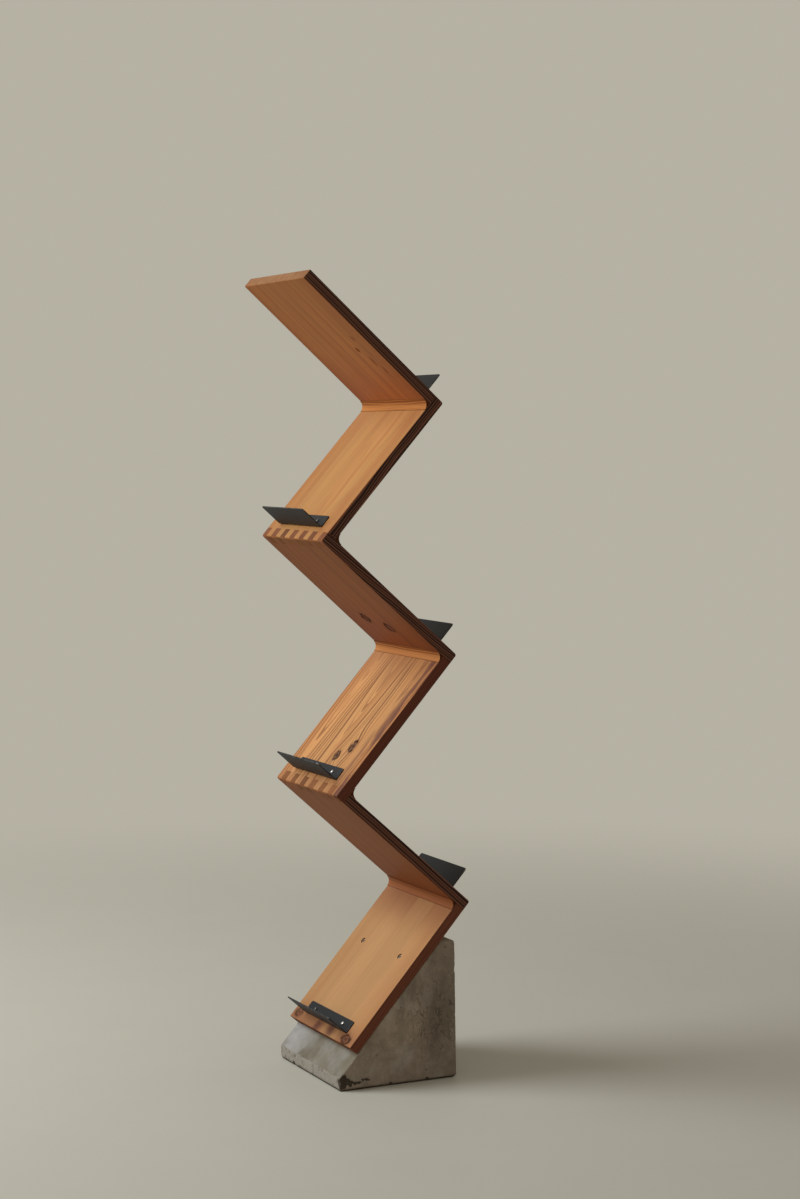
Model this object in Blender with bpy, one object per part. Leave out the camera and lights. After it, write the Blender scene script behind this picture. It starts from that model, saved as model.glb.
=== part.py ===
"""Zigzag magazine shelf: six finger-jointed pine boards climbing from a cast concrete wedge.

The zigzag is drawn in the Y-Z plane and has its width along X. The front is -Y and +Z is up.
Boards 1, 3 and 5 rise towards the back, boards 2, 4 and 6 rise towards the front, and every
corner between them is a right angle.
"""
import math

import bmesh
import bpy
from mathutils import Matrix, Vector

MM = 0.001

# Boards and their corners
BOARD_WIDTH = 260 * MM
BOARD_THICKNESS = 19 * MM
CORNER_SPACING = 312 * MM        # between neighbouring corners, on the middle of the thickness
LOWEST_REACH = 324 * MM          # from the first corner down to the free end of board 1
TOP_REACH = 328 * MM             # from the last corner up to the free end of board 6
LEAN = math.radians(48.5)        # slope of boards 1, 3 and 5 above the floor
TIP_RADIUS = 4 * MM              # rounding of each outer corner of the zigzag
EDGE_RADIUS = 1.2 * MM           # softened long edges of the boards
GLUE_GAP = 0.3 * MM

# Finger joints
FINGER_COUNT = 13
OUTER_FINGERS = {1: 2, 2: 3, 3: 4, 4: 4, 5: 5}   # corner: the board that owns its outermost fingers

# Cove strips in the inner corners
COVE_LEG = 13.5 * MM
COVE_EDGE = 1.0 * MM

# Folded steel ledges
LEDGE_WIDTH = 178 * MM
LEDGE_DEPTH = 48 * MM
LEDGE_FLANGE = 25 * MM
LEDGE_PLATE = 2 * MM
LEDGE_BEND_RADIUS = 1.5 * MM     # inside of the fold
LEDGE_CORNER_RADIUS = 4 * MM
FRONT_LEDGE_RISE = 28 * MM       # from the board's lower tip up to the fold, boards 3 and 5
BACK_LEDGE_RISE = 22 * MM        # the same on boards 2, 4 and 6
LOWEST_LEDGE_RISE = 19 * MM      # from the free end of board 1
SEAT_GAP = 0.3 * MM              # under a ledge, a screw head or the lowest board

# Pan-head wood screws in the ledges
SCREW_SPACING = 117 * MM
SCREW_SHANK_DIAMETER = 3.6 * MM
SCREW_HEAD_DIAMETER = 7.6 * MM
SCREW_HEAD_HEIGHT = 2.4 * MM
SCREW_POINT = 4 * MM
SCREW_CROSS_SPAN = 4.2 * MM
SCREW_CROSS_WIDTH = 1.0 * MM
SCREW_CROSS_DEPTH = 1.3 * MM
SCREW_TIP_COVER = 6.5 * MM       # wood left in front of the screw's point
HOLE_CLEARANCE = 0.3 * MM        # round every shank, head and sleeve

# Concrete base
BASE_DEPTH = 230 * MM            # on the floor
BASE_TOP_DEPTH = 30 * MM
BASE_BACK_DRAFT = 4 * MM
BASE_NOSE_HEIGHT = 25 * MM
BASE_NOSE_RADIUS = 14 * MM
BASE_EDGE_RADIUS = 4 * MM
BASE_SET_DOWN = 89 * MM          # from the first outer corner down board 1 to the top of the slope

# Socket-head bolts and their sleeve anchors, which hold board 1 on the concrete
BOLT_SPACING = 150 * MM
BOLT_SET_DOWN = 129 * MM         # from the first inner corner down board 1
BOLT_DIAMETER = 6 * MM
BOLT_HEAD_DIAMETER = 10 * MM
BOLT_HEAD_HEIGHT = 6 * MM
BOLT_SOCKET_WIDTH = 5 * MM
BOLT_SOCKET_DEPTH = 3 * MM
BOLT_WEB = 10 * MM               # wood left under the bolt's head
BOLT_BITE = 30 * MM              # length of bolt inside the anchor
ANCHOR_DIAMETER = 10 * MM
ANCHOR_LENGTH = 40 * MM
ANCHOR_INSET = 1 * MM            # of the anchor below the concrete
ANCHOR_CHAMFER = 1 * MM

# How finely round shapes are drawn
ARC_STEPS = 5
COVE_STEPS = 10
SMALL_ROUND_STEPS = 16
HOLE_STEPS = 20
OVERCUT = 5 * MM                 # of every cutter past the surface that it opens
SMOOTH_ANGLE = math.radians(35)

HALF_BOARD = BOARD_THICKNESS / 2
RISE_BACK = Vector((0, math.cos(LEAN), math.sin(LEAN)))      # up along boards 1, 3 and 5
RISE_FRONT = Vector((0, -math.sin(LEAN), math.cos(LEAN)))    # up along boards 2, 4 and 6
BOARD_NUMBERS = range(1, 7)
SIDES = {"a": -1, "b": 1}


def clear_scene():
    for old in list(bpy.data.objects):
        bpy.data.objects.remove(old)


def finish(name, colour, roughness, metallic=0.0):
    """One Principled finish."""
    material = bpy.data.materials.new(name)
    material.use_nodes = True
    shader = material.node_tree.nodes["Principled BSDF"]
    shader.inputs["Base Color"].default_value = (*colour, 1)
    shader.inputs["Roughness"].default_value = roughness
    shader.inputs["Metallic"].default_value = metallic
    material.diffuse_color = (*colour, 1)
    return material


def add_object(name, mesh, frame, material, parent):
    """Places one finished piece by its frame, under the shelf's own empty."""
    piece = bpy.data.objects.new(name, mesh)
    bpy.context.collection.objects.link(piece)
    piece.parent = parent
    piece.matrix_local = frame
    if not mesh.materials:
        mesh.materials.append(material)
    return piece


def mesh_from(bm, name):
    bmesh.ops.recalc_face_normals(bm, faces=bm.faces)
    mesh = bpy.data.meshes.new(name)
    bm.to_mesh(mesh)
    bm.free()
    mesh.shade_smooth()
    mesh.set_sharp_from_angle(angle=SMOOTH_ANGLE)
    return mesh


def rounded_outline(corners):
    """Turns (y, z, radius) corners into a closed outline whose corners are arcs."""
    outline = []
    for index, (y, z, radius) in enumerate(corners):
        corner = Vector((y, z))
        if radius == 0:
            outline.append(corner)
            continue
        before = Vector(corners[index - 1][:2]) - corner
        after = Vector(corners[(index + 1) % len(corners)][:2]) - corner
        half_angle = before.angle(after) / 2
        setback = radius / math.tan(half_angle)
        before.normalize()
        after.normalize()
        centre = corner + (before + after).normalized() * radius / math.sin(half_angle)
        first = corner + before * setback - centre
        last = corner + after * setback - centre
        turn = first.angle_signed(last)
        for step in range(ARC_STEPS + 1):
            arm = first.copy()
            arm.rotate(Matrix.Rotation(-turn * step / ARC_STEPS, 2))
            outline.append(centre + arm)
    return outline


def prism(outline, width):
    """Extrudes a Y-Z outline to a width along X, centred on X = 0."""
    bm = bmesh.new()
    face = bm.faces.new([bm.verts.new((-width / 2, y, z)) for y, z in outline])
    grown = bmesh.ops.extrude_face_region(bm, geom=[face])
    moved = [item for item in grown["geom"] if isinstance(item, bmesh.types.BMVert)]
    bmesh.ops.translate(bm, verts=moved, vec=(width, 0, 0))
    bmesh.ops.recalc_face_normals(bm, faces=bm.faces)
    return bm


def soften_sides(bm, radius, segments=2):
    """Rounds the edges round both side faces of a prism."""
    sides = [face for face in bm.faces if abs(face.normal.x) > 0.999]
    edges = list({edge for face in sides for edge in face.edges})
    bmesh.ops.bevel(bm, geom=edges, offset=radius, segments=segments, profile=0.5, affect="EDGES")


def turned(profile, steps):
    """Turns a list of (radius, height) points about Z, closing each end on the axis or on the first point."""
    bm = bmesh.new()
    closed = profile[0][0] > 0
    rings = []
    for radius, height in profile:
        count = steps if radius > 0 else 1
        angles = [2 * math.pi * step / steps for step in range(count)]
        rings.append([bm.verts.new((radius * math.cos(a), radius * math.sin(a), height)) for a in angles])
    pairs = list(zip(rings, rings[1:] + rings[:1])) if closed else list(zip(rings, rings[1:]))
    for upper, lower in pairs:
        for step in range(steps):
            after = (step + 1) % steps
            loop = [upper[step % len(upper)], upper[after % len(upper)]]
            loop += [lower[after % len(lower)], lower[step % len(lower)]]
            bm.faces.new(list(dict.fromkeys(loop)))
    return bm


def add_box(bm, low, high):
    low, high = Vector(low), Vector(high)
    place = Matrix.Translation((low + high) / 2) @ Matrix.Diagonal((*(high - low), 1))
    bmesh.ops.create_cube(bm, size=1, matrix=place)


def add_drill(bm, x, y, top, bottom, diameter, steps=HOLE_STEPS):
    """A round cutter along Z, from top down to bottom."""
    place = Matrix.Translation((x, y, (top + bottom) / 2))
    bmesh.ops.create_cone(bm, cap_ends=True, segments=steps, radius1=diameter / 2, radius2=diameter / 2,
                          depth=top - bottom, matrix=place)


def add_bodies(bm, other, place):
    """Moves the bodies of another bmesh to their place and adds them."""
    bmesh.ops.transform(other, matrix=place, verts=other.verts)
    spare = bpy.data.meshes.new("spare")
    other.to_mesh(spare)
    other.free()
    bm.from_mesh(spare)
    bpy.data.meshes.remove(spare)


def cut(piece, bm, name, frame):
    """Takes the cutter's bodies out of a piece; the cutter shares the piece's frame and isn't drawn."""
    cutter = bpy.data.objects.new(name, mesh_from(bm, name))
    bpy.context.collection.objects.link(cutter)
    cutter.parent = piece.parent
    cutter.matrix_local = frame
    cutter.hide_render = True
    cutter.display_type = "WIRE"
    boolean = piece.modifiers.new(name, "BOOLEAN")
    boolean.operation = "DIFFERENCE"
    boolean.solver = "EXACT"
    boolean.object = cutter


def cut_mesh(mesh, bm, name):
    """Gives the mesh that is left when the cutter's bodies are taken out, for pieces that share one mesh."""
    blank = bpy.data.objects.new(name, mesh)
    cutter = bpy.data.objects.new(name + "_cut", mesh_from(bm, name + "_cut"))
    for item in (blank, cutter):
        bpy.context.collection.objects.link(item)
    boolean = blank.modifiers.new(name, "BOOLEAN")
    boolean.solver = "EXACT"
    boolean.object = cutter
    depsgraph = bpy.context.evaluated_depsgraph_get()
    result = bpy.data.meshes.new_from_object(blank.evaluated_get(depsgraph))
    for item in (blank, cutter):
        bpy.data.objects.remove(item)
    return result


# The zigzag: directions, corners and the frame of every board

def rise(number):
    """Direction up along a board."""
    return RISE_BACK if number % 2 else RISE_FRONT


def upper_normal(number):
    """Outward normal of a board's upper face, which is also the rise of its neighbours."""
    return rise(number + 1)


def corner_points():
    """Middle of each corner; corner k joins board k to board k + 1."""
    points = {1: Vector((0, 0, 0))}
    for corner in range(2, 6):
        points[corner] = points[corner - 1] + rise(corner) * CORNER_SPACING
    return points


CORNERS = corner_points()
OUTER_TIP_1 = CORNERS[1] + (rise(1) - rise(2)) * HALF_BOARD


def frame_on(origin, along, normal):
    """Frame with local Y along a board, local Z out of its face and local X across it."""
    across = along.cross(normal)
    axes = Matrix((across, along, normal)).transposed()
    return Matrix.Translation(origin) @ axes.to_4x4()


def board_frame(number):
    """Frame at a board's lower corner, or at the free end of board 1, in the middle of its thickness."""
    origin = CORNERS[1] - rise(1) * LOWEST_REACH if number == 1 else CORNERS[number - 1]
    return frame_on(origin, rise(number), upper_normal(number))


def board_reach(number):
    """Length from the board frame's origin to the upper corner, or to the free end of board 6."""
    return {1: LOWEST_REACH, 6: TOP_REACH}.get(number, CORNER_SPACING)


def lower_tip(number):
    """Local Y of a board's lower tip."""
    return 0 if number == 1 else -HALF_BOARD


def ledge_rise(number):
    if number == 1:
        return LOWEST_LEDGE_RISE
    return FRONT_LEDGE_RISE if number % 2 else BACK_LEDGE_RISE


# Boards

def board_outline(number):
    """Side outline of a board: outer corners of the zigzag get the tip's rounding, free ends the edge's."""
    bottom = lower_tip(number)
    top = board_reach(number) + (0 if number == 6 else HALF_BOARD)
    free_bottom = number == 1
    free_top = number == 6
    return rounded_outline([
        (bottom, -HALF_BOARD, EDGE_RADIUS if free_bottom else 0),
        (top, -HALF_BOARD, EDGE_RADIUS if free_top else TIP_RADIUS),
        (top, HALF_BOARD, EDGE_RADIUS if free_top else 0),
        (bottom, HALF_BOARD, EDGE_RADIUS if free_bottom else TIP_RADIUS),
    ])


def add_finger_slots(bm, number, corner, y_low, y_high):
    """Slots at one end of a board, where the fingers of its neighbour go through."""
    pitch = BOARD_WIDTH / FINGER_COUNT
    owner_parity = 0 if OUTER_FINGERS[corner] == number else 1
    world_side = board_frame(number).col[0].x
    for finger in range(FINGER_COUNT):
        if finger % 2 == owner_parity:
            continue
        x_low = finger * pitch - BOARD_WIDTH / 2 - GLUE_GAP / 2
        x_high = x_low + pitch + GLUE_GAP
        if finger == 0:
            x_low -= OVERCUT
        if finger == FINGER_COUNT - 1:
            x_high += OVERCUT
        x_low, x_high = sorted((x_low * world_side, x_high * world_side))
        depth = HALF_BOARD + OVERCUT
        add_box(bm, (x_low, y_low, -depth), (x_high, y_high, depth))


def screw_bite():
    """Length of a ledge screw inside its board."""
    return BOARD_THICKNESS - SCREW_TIP_COVER


def add_board_cuts(bm, number):
    """Finger slots, screw pilot holes and, in board 1, the counterbored bolt holes."""
    if number > 1:
        add_finger_slots(bm, number, number - 1, -HALF_BOARD - OVERCUT, HALF_BOARD + GLUE_GAP)
    if number < 6:
        reach = board_reach(number)
        add_finger_slots(bm, number, number, reach - HALF_BOARD - GLUE_GAP, reach + HALF_BOARD + OVERCUT)
    screw_y = lower_tip(number) + ledge_rise(number) + LEDGE_FLANGE / 2
    pilot = SCREW_SHANK_DIAMETER + 2 * HOLE_CLEARANCE
    pilot_bottom = HALF_BOARD - screw_bite() - HOLE_CLEARANCE
    for side in SIDES.values():
        add_drill(bm, side * SCREW_SPACING / 2, screw_y, HALF_BOARD + OVERCUT, pilot_bottom, pilot)
    if number == 1:
        bolt_y = LOWEST_REACH - HALF_BOARD - BOLT_SET_DOWN
        floor = BOLT_WEB - HALF_BOARD
        head = BOLT_HEAD_DIAMETER / 2 + HOLE_CLEARANCE
        shank = BOLT_DIAMETER / 2 + HOLE_CLEARANCE
        for side in SIDES.values():
            profile = [(0, HALF_BOARD + OVERCUT), (head, HALF_BOARD + OVERCUT), (head, floor), (shank, floor),
                       (shank, -HALF_BOARD - OVERCUT), (0, -HALF_BOARD - OVERCUT)]
            place = Matrix.Translation((side * BOLT_SPACING / 2, bolt_y, 0))
            add_bodies(bm, turned(profile, HOLE_STEPS), place)


def make_board(number, pine, shelf):
    bm = prism(board_outline(number), BOARD_WIDTH)
    soften_sides(bm, EDGE_RADIUS)
    name = f"board_{number}"
    frame = board_frame(number)
    board = add_object(name, mesh_from(bm, name), frame, pine, shelf)
    cuts = bmesh.new()
    add_board_cuts(cuts, number)
    cut(board, cuts, name + "_cuts", frame)


# Cove strips

def make_cove(corner, pine, shelf):
    """A strip with a hollow quarter-round face, lying on both boards of an inner corner."""
    down_lower = -rise(corner)
    up_upper = rise(corner + 1)
    inner = CORNERS[corner] + (up_upper + down_lower) * (HALF_BOARD + GLUE_GAP)
    radius = COVE_LEG - COVE_EDGE
    outline = [Vector((0, 0)), Vector((COVE_LEG, 0))]
    for step in range(COVE_STEPS + 1):
        angle = math.pi / 2 * step / COVE_STEPS
        outline.append(Vector((COVE_LEG - radius * math.sin(angle), COVE_LEG - radius * math.cos(angle))))
    outline.append(Vector((0, COVE_LEG)))
    name = f"cove_{corner}"
    frame = frame_on(inner, down_lower, up_upper)
    add_object(name, mesh_from(prism(outline, BOARD_WIDTH), name), frame, pine, shelf)


# Ledges and their screws

def ledge_frame(number):
    """Frame on a board's upper face at the fold of its ledge."""
    along = lower_tip(number) + ledge_rise(number)
    return board_frame(number) @ Matrix.Translation((0, along, HALF_BOARD + SEAT_GAP))


def ledge_blank():
    """The folded angle: a flange on the board and a shelf standing square out of it."""
    outer = LEDGE_BEND_RADIUS + LEDGE_PLATE
    bm = prism(rounded_outline([
        (0, 0, outer),
        (LEDGE_FLANGE, 0, 0),
        (LEDGE_FLANGE, LEDGE_PLATE, 0),
        (LEDGE_PLATE, LEDGE_PLATE, LEDGE_BEND_RADIUS),
        (LEDGE_PLATE, LEDGE_DEPTH, 0),
        (0, LEDGE_DEPTH, 0),
    ]), LEDGE_WIDTH)
    free_corners = []
    for edge in bm.edges:
        middle = (edge.verts[0].co + edge.verts[1].co) / 2
        at_side = abs(middle.x) > LEDGE_WIDTH / 2 - LEDGE_PLATE / 4
        at_lip = middle.z > LEDGE_DEPTH - LEDGE_PLATE / 4 or middle.y > LEDGE_FLANGE - LEDGE_PLATE / 4
        if at_side and at_lip:
            free_corners.append(edge)
    bmesh.ops.bevel(bm, geom=free_corners, offset=LEDGE_CORNER_RADIUS, segments=ARC_STEPS, profile=0.5,
                    affect="EDGES")
    return bm


def ledge_mesh():
    holes = bmesh.new()
    for side in SIDES.values():
        add_drill(holes, side * SCREW_SPACING / 2, LEDGE_FLANGE / 2, LEDGE_PLATE + OVERCUT, -OVERCUT,
                  SCREW_SHANK_DIAMETER + 2 * HOLE_CLEARANCE)
    return cut_mesh(mesh_from(ledge_blank(), "ledge"), holes, "ledge")


def screw_mesh():
    """A domed head with a cross recess on a plain shank with a point; the head's seat is at Z = 0."""
    length = screw_bite() + LEDGE_PLATE + 2 * SEAT_GAP
    head = SCREW_HEAD_DIAMETER / 2
    shank = SCREW_SHANK_DIAMETER / 2
    rim = SCREW_HEAD_HEIGHT / 4
    dome = [(head * math.sin(turn), rim + (SCREW_HEAD_HEIGHT - rim) * math.cos(turn))
            for turn in (math.pi / 2 * step / ARC_STEPS for step in range(1, ARC_STEPS + 1))]
    profile = [(0, SCREW_HEAD_HEIGHT), *dome, (head, 0),
               (shank, 0), (shank, SCREW_POINT - length), (0, -length)]
    cross = bmesh.new()
    floor = SCREW_HEAD_HEIGHT - SCREW_CROSS_DEPTH
    long_half = SCREW_CROSS_SPAN / 2
    short_half = SCREW_CROSS_WIDTH / 2
    outline = [(long_half, short_half), (short_half, short_half), (short_half, long_half)]
    points = []
    for quarter in range(4):
        turn = Matrix.Rotation(quarter * math.pi / 2, 3, "Z")
        points += [turn @ Vector((x, y, floor)) for x, y in outline]
    face = cross.faces.new([cross.verts.new(point) for point in points])
    grown = bmesh.ops.extrude_face_region(cross, geom=[face])
    top = [item for item in grown["geom"] if isinstance(item, bmesh.types.BMVert)]
    bmesh.ops.translate(cross, verts=top, vec=(0, 0, SCREW_CROSS_DEPTH + OVERCUT))
    return cut_mesh(mesh_from(turned(profile, SMALL_ROUND_STEPS), "ledge_screw"), cross, "ledge_screw")


def make_ledges(black_steel, zinc, shelf):
    angle = ledge_mesh()
    screw = screw_mesh()
    for number in BOARD_NUMBERS:
        frame = ledge_frame(number)
        add_object(f"ledge_{number}", angle, frame, black_steel, shelf)
        for letter, side in SIDES.items():
            seat = Matrix.Translation((side * SCREW_SPACING / 2, LEDGE_FLANGE / 2, LEDGE_PLATE + SEAT_GAP))
            add_object(f"ledge_screw_{number}_{letter}", screw, frame @ seat, zinc, shelf)


# Concrete base with its bolts and anchors

def base_corners():
    """Side outline of the wedge, whose slope lies under board 1, from the slope's top round by the nose."""
    slope_top = OUTER_TIP_1 - rise(1) * BASE_SET_DOWN - upper_normal(1) * SEAT_GAP
    run = BASE_DEPTH - BASE_TOP_DEPTH - BASE_BACK_DRAFT
    front = slope_top.y - run
    back = slope_top.y + BASE_TOP_DEPTH
    nose = slope_top.z - run * math.tan(LEAN)
    floor = nose - BASE_NOSE_HEIGHT
    return [
        (slope_top.y, slope_top.z, BASE_EDGE_RADIUS),
        (front, nose, BASE_NOSE_RADIUS),
        (front, floor, BASE_EDGE_RADIUS),
        (back + BASE_BACK_DRAFT, floor, BASE_EDGE_RADIUS),
        (back, slope_top.z, BASE_EDGE_RADIUS),
    ]


def bolt_frame(side):
    """Frame on board 1's underside at a bolt, with local Z up along the bolt."""
    along = LOWEST_REACH - HALF_BOARD - BOLT_SET_DOWN
    return board_frame(1) @ Matrix.Translation((side * BOLT_SPACING / 2, along, -HALF_BOARD))


def anchor_drill_depth():
    return ANCHOR_INSET + ANCHOR_LENGTH + HOLE_CLEARANCE


def make_base(concrete, shelf):
    bm = prism(rounded_outline(base_corners()), BOARD_WIDTH)
    soften_sides(bm, BASE_EDGE_RADIUS, 3)
    frame = Matrix.Identity(4)
    base = add_object("concrete_base", mesh_from(bm, "concrete_base"), frame, concrete, shelf)
    holes = bmesh.new()
    for side in SIDES.values():
        drill = bmesh.new()
        add_drill(drill, 0, 0, OVERCUT, -SEAT_GAP - anchor_drill_depth(),
                  ANCHOR_DIAMETER + 2 * HOLE_CLEARANCE)
        add_bodies(holes, drill, bolt_frame(side))
    cut(base, holes, "concrete_base_holes", frame)


def bolt_mesh():
    """A cylinder head with a hexagon socket on a plain shank; the head's seat is at Z = 0."""
    length = BOLT_WEB + 2 * SEAT_GAP + ANCHOR_INSET + BOLT_BITE
    head = BOLT_HEAD_DIAMETER / 2
    shank = BOLT_DIAMETER / 2
    chamfer = BOLT_DIAMETER / 8
    profile = [(0, BOLT_HEAD_HEIGHT), (head - chamfer, BOLT_HEAD_HEIGHT), (head, BOLT_HEAD_HEIGHT - chamfer),
               (head, 0), (shank, 0), (shank, chamfer - length), (shank - chamfer, -length), (0, -length)]
    socket = bmesh.new()
    across_corners = BOLT_SOCKET_WIDTH / math.cos(math.pi / 6)
    floor = BOLT_HEAD_HEIGHT - BOLT_SOCKET_DEPTH
    add_drill(socket, 0, 0, BOLT_HEAD_HEIGHT + OVERCUT, floor, across_corners, 6)
    return cut_mesh(mesh_from(turned(profile, SMALL_ROUND_STEPS), "base_bolt"), socket, "base_bolt")


def anchor_mesh():
    """A plain sleeve with chamfered ends; its mouth is at Z = 0."""
    outer = ANCHOR_DIAMETER / 2
    inner = BOLT_DIAMETER / 2 + HOLE_CLEARANCE
    profile = [(inner, 0), (outer - ANCHOR_CHAMFER, 0), (outer, -ANCHOR_CHAMFER),
               (outer, ANCHOR_CHAMFER - ANCHOR_LENGTH), (outer - ANCHOR_CHAMFER, -ANCHOR_LENGTH),
               (inner, -ANCHOR_LENGTH)]
    return mesh_from(turned(profile, SMALL_ROUND_STEPS), "base_anchor")


def make_fixings(zinc, shelf):
    bolt = bolt_mesh()
    anchor = anchor_mesh()
    for letter, side in SIDES.items():
        frame = bolt_frame(side)
        head_seat = Matrix.Translation((0, 0, BOLT_WEB + SEAT_GAP))
        mouth = Matrix.Translation((0, 0, -SEAT_GAP - ANCHOR_INSET))
        add_object(f"base_bolt_{letter}", bolt, frame @ head_seat, zinc, shelf)
        add_object(f"base_anchor_{letter}", anchor, frame @ mouth, zinc, shelf)


def stand_on_floor(shelf):
    """Moves the whole shelf so that the origin is under the middle of its box, on the floor."""
    bpy.context.view_layer.update()
    pieces = [item for item in bpy.data.objects if item.type == "MESH" and not item.hide_render]
    depsgraph = bpy.context.evaluated_depsgraph_get()
    points = []
    for item in pieces:
        solid = item.evaluated_get(depsgraph)
        points += [item.matrix_world @ vert.co for vert in solid.data.vertices]
    ys = [point.y for point in points]
    shelf.location = (0, -(min(ys) + max(ys)) / 2, -min(point.z for point in points))


def main():
    clear_scene()
    pine = finish("oiled_pine", (0.50, 0.26, 0.11), 0.45)
    cove_pine = finish("pale_pine", (0.58, 0.33, 0.15), 0.45)
    black_steel = finish("black_steel", (0.03, 0.032, 0.035), 0.45, 0.6)
    zinc = finish("zinc_steel", (0.62, 0.62, 0.60), 0.3, 1.0)
    concrete = finish("cast_concrete", (0.36, 0.35, 0.32), 0.9)
    shelf = bpy.data.objects.new("shelf", None)
    bpy.context.collection.objects.link(shelf)
    make_base(concrete, shelf)
    for number in BOARD_NUMBERS:
        make_board(number, pine, shelf)
    for corner in CORNERS:
        make_cove(corner, cove_pine, shelf)
    make_ledges(black_steel, zinc, shelf)
    make_fixings(zinc, shelf)
    stand_on_floor(shelf)


main()
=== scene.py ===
# %% [markdown]
# # A zigzag magazine shelf
# Six pine boards climb in a zigzag from a cast concrete wedge. They are finger-jointed at every corner, a
# cove strip fills each inner corner, and six folded steel ledges hold the magazines. The sizes are settled
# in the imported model, so this lesson loads it as a frame, measures it, and builds the surfaces that the eye
# sees.

import math
import random
from collections import namedtuple
from types import SimpleNamespace

import bmesh
import bpy
from mathutils import Matrix, Vector


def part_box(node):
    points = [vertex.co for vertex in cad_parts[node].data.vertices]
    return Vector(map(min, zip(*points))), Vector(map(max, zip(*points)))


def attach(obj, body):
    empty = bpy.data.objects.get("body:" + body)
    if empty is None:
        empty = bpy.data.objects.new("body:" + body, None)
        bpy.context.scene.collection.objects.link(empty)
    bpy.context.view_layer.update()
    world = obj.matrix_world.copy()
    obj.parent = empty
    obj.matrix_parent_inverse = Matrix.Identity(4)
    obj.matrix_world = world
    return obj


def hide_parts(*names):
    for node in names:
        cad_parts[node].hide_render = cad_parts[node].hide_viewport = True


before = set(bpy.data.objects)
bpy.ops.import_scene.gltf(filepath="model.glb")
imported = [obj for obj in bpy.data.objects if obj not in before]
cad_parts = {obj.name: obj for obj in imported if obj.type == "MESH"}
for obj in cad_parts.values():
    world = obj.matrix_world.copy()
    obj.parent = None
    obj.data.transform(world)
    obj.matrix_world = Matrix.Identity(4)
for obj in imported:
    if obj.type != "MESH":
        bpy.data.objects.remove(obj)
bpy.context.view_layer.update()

# %% [markdown]
# ## Directions of the zigzag
# All boards lean by one angle, so two directions describe the whole shelf: up along the boards that rise to
# the back, and up along those that rise to the front. Each is also the normal of the other boards' upper
# faces. A bounding box says little about a leaning board, but the reach of its points along such a
# direction gives its ends and faces exactly.

# %% Directions
MM = 0.001
LEAN = math.radians(48.5)
RISE_BACK = Vector((0, math.cos(LEAN), math.sin(LEAN)))
RISE_FRONT = Vector((0, -math.sin(LEAN), math.cos(LEAN)))
ACROSS = Vector((1, 0, 0))
BOARDS = range(1, 7)
CORNERS = range(1, 6)


def rise(number):
    """Direction up along a board; the next board's rise is the normal of its upper face."""
    return RISE_BACK if number % 2 else RISE_FRONT


print("lean:", round(math.degrees(LEAN), 1), "degrees, to the back and to the front by turns")

# %% Measuring along them
def span(node, direction):
    """Lowest and highest reach of a CAD node along a direction, from the origin."""
    reach = [direction.dot(vertex.co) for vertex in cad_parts[node].data.vertices]
    return min(reach), max(reach)


def extent(node, direction):
    low, high = span(node, direction)
    return high - low


def place_on(node, along, normal, level=0.0):
    """A frame at a node's lower end: x across, y along, z up its normal from a level of its thickness."""
    axes = Matrix((along.cross(normal), along, normal)).transposed()
    height = span(node, normal)[0] + level * extent(node, normal)
    return Matrix.Translation(along * span(node, along)[0] + normal * height) @ axes.to_4x4()


WIDTH = extent("board_1", ACROSS)
THICKNESS = extent("board_1", rise(2))
HALF_BOARD = THICKNESS / 2
BOARD_PLACE = {number: place_on(f"board_{number}", rise(number), rise(number + 1), 0.5)
               for number in BOARDS}
BOARD_LENGTH = {number: extent(f"board_{number}", rise(number)) for number in BOARDS}
print("boards:", round(WIDTH / MM, 1), "mm wide,", round(THICKNESS / MM, 1), "mm thick, lengths",
      [round(length / MM, 1) for length in BOARD_LENGTH.values()])

# %% [markdown]
# ## Formulas out of nodes
# Materials and Geometry Nodes trees are both graphs of nodes. Clicking them together is quick for one
# material, but this shelf has sixteen, and most of them differ only in their numbers, so they are wired in
# code. A small class wraps an output socket, and a sign between two of them adds the Math node for it. A
# pattern then reads like a formula, and it still ends up as ordinary nodes.

# %% Sockets with signs
class Flow:
    """An output socket in a formula; every sign adds a Math node to the socket's own tree."""

    def __init__(self, socket):
        self.socket = socket
        self.tree = socket.id_data

    def __add__(self, other):
        return maths("ADD", self, other)

    def __sub__(self, other):
        return maths("SUBTRACT", self, other)

    def __rsub__(self, other):
        return maths("SUBTRACT", other, self)

    def __mul__(self, other):
        return maths("MULTIPLY", self, other)

    def __truediv__(self, other):
        return maths("DIVIDE", self, other)

    def __abs__(self):
        return maths("ABSOLUTE", self)

    __radd__ = __add__
    __rmul__ = __mul__


def plug(node, inputs):
    """Links flows to a node's inputs and sets plain values on its sockets; a colour is three numbers."""
    for key, value in inputs.items():
        socket = node.inputs[key]
        if isinstance(value, Flow):
            value.tree.links.new(value.socket, socket)
        else:
            socket.default_value = (*value, 1.0) if socket.type == "RGBA" else value


def wire(tree, kind, inputs=None, out=0, **settings):
    """Adds a node, sets it up and gives back one of its outputs; sockets go by name or by place."""
    node = tree.nodes.new(kind)
    for key, value in settings.items():
        setattr(node, key, value)
    plug(node, inputs or {})
    return Flow(node.outputs[out])


def tree_of(values):
    return next(value.tree for value in values if isinstance(value, Flow))


def maths(operation, *values, clamp=False):
    inputs = dict(enumerate(values))
    return wire(tree_of(values), "ShaderNodeMath", inputs, operation=operation, use_clamp=clamp)


def vectors(operation, *values, out=0):
    return wire(tree_of(values), "ShaderNodeVectorMath", dict(enumerate(values)), out, operation=operation)


print("signs that wire nodes: + - * / and abs")

# %% Helpers for patterns
def larger(first, second):
    """The larger of two flows or numbers."""
    if isinstance(first, Flow) or isinstance(second, Flow):
        return maths("MAXIMUM", first, second)
    return max(first, second)


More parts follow.
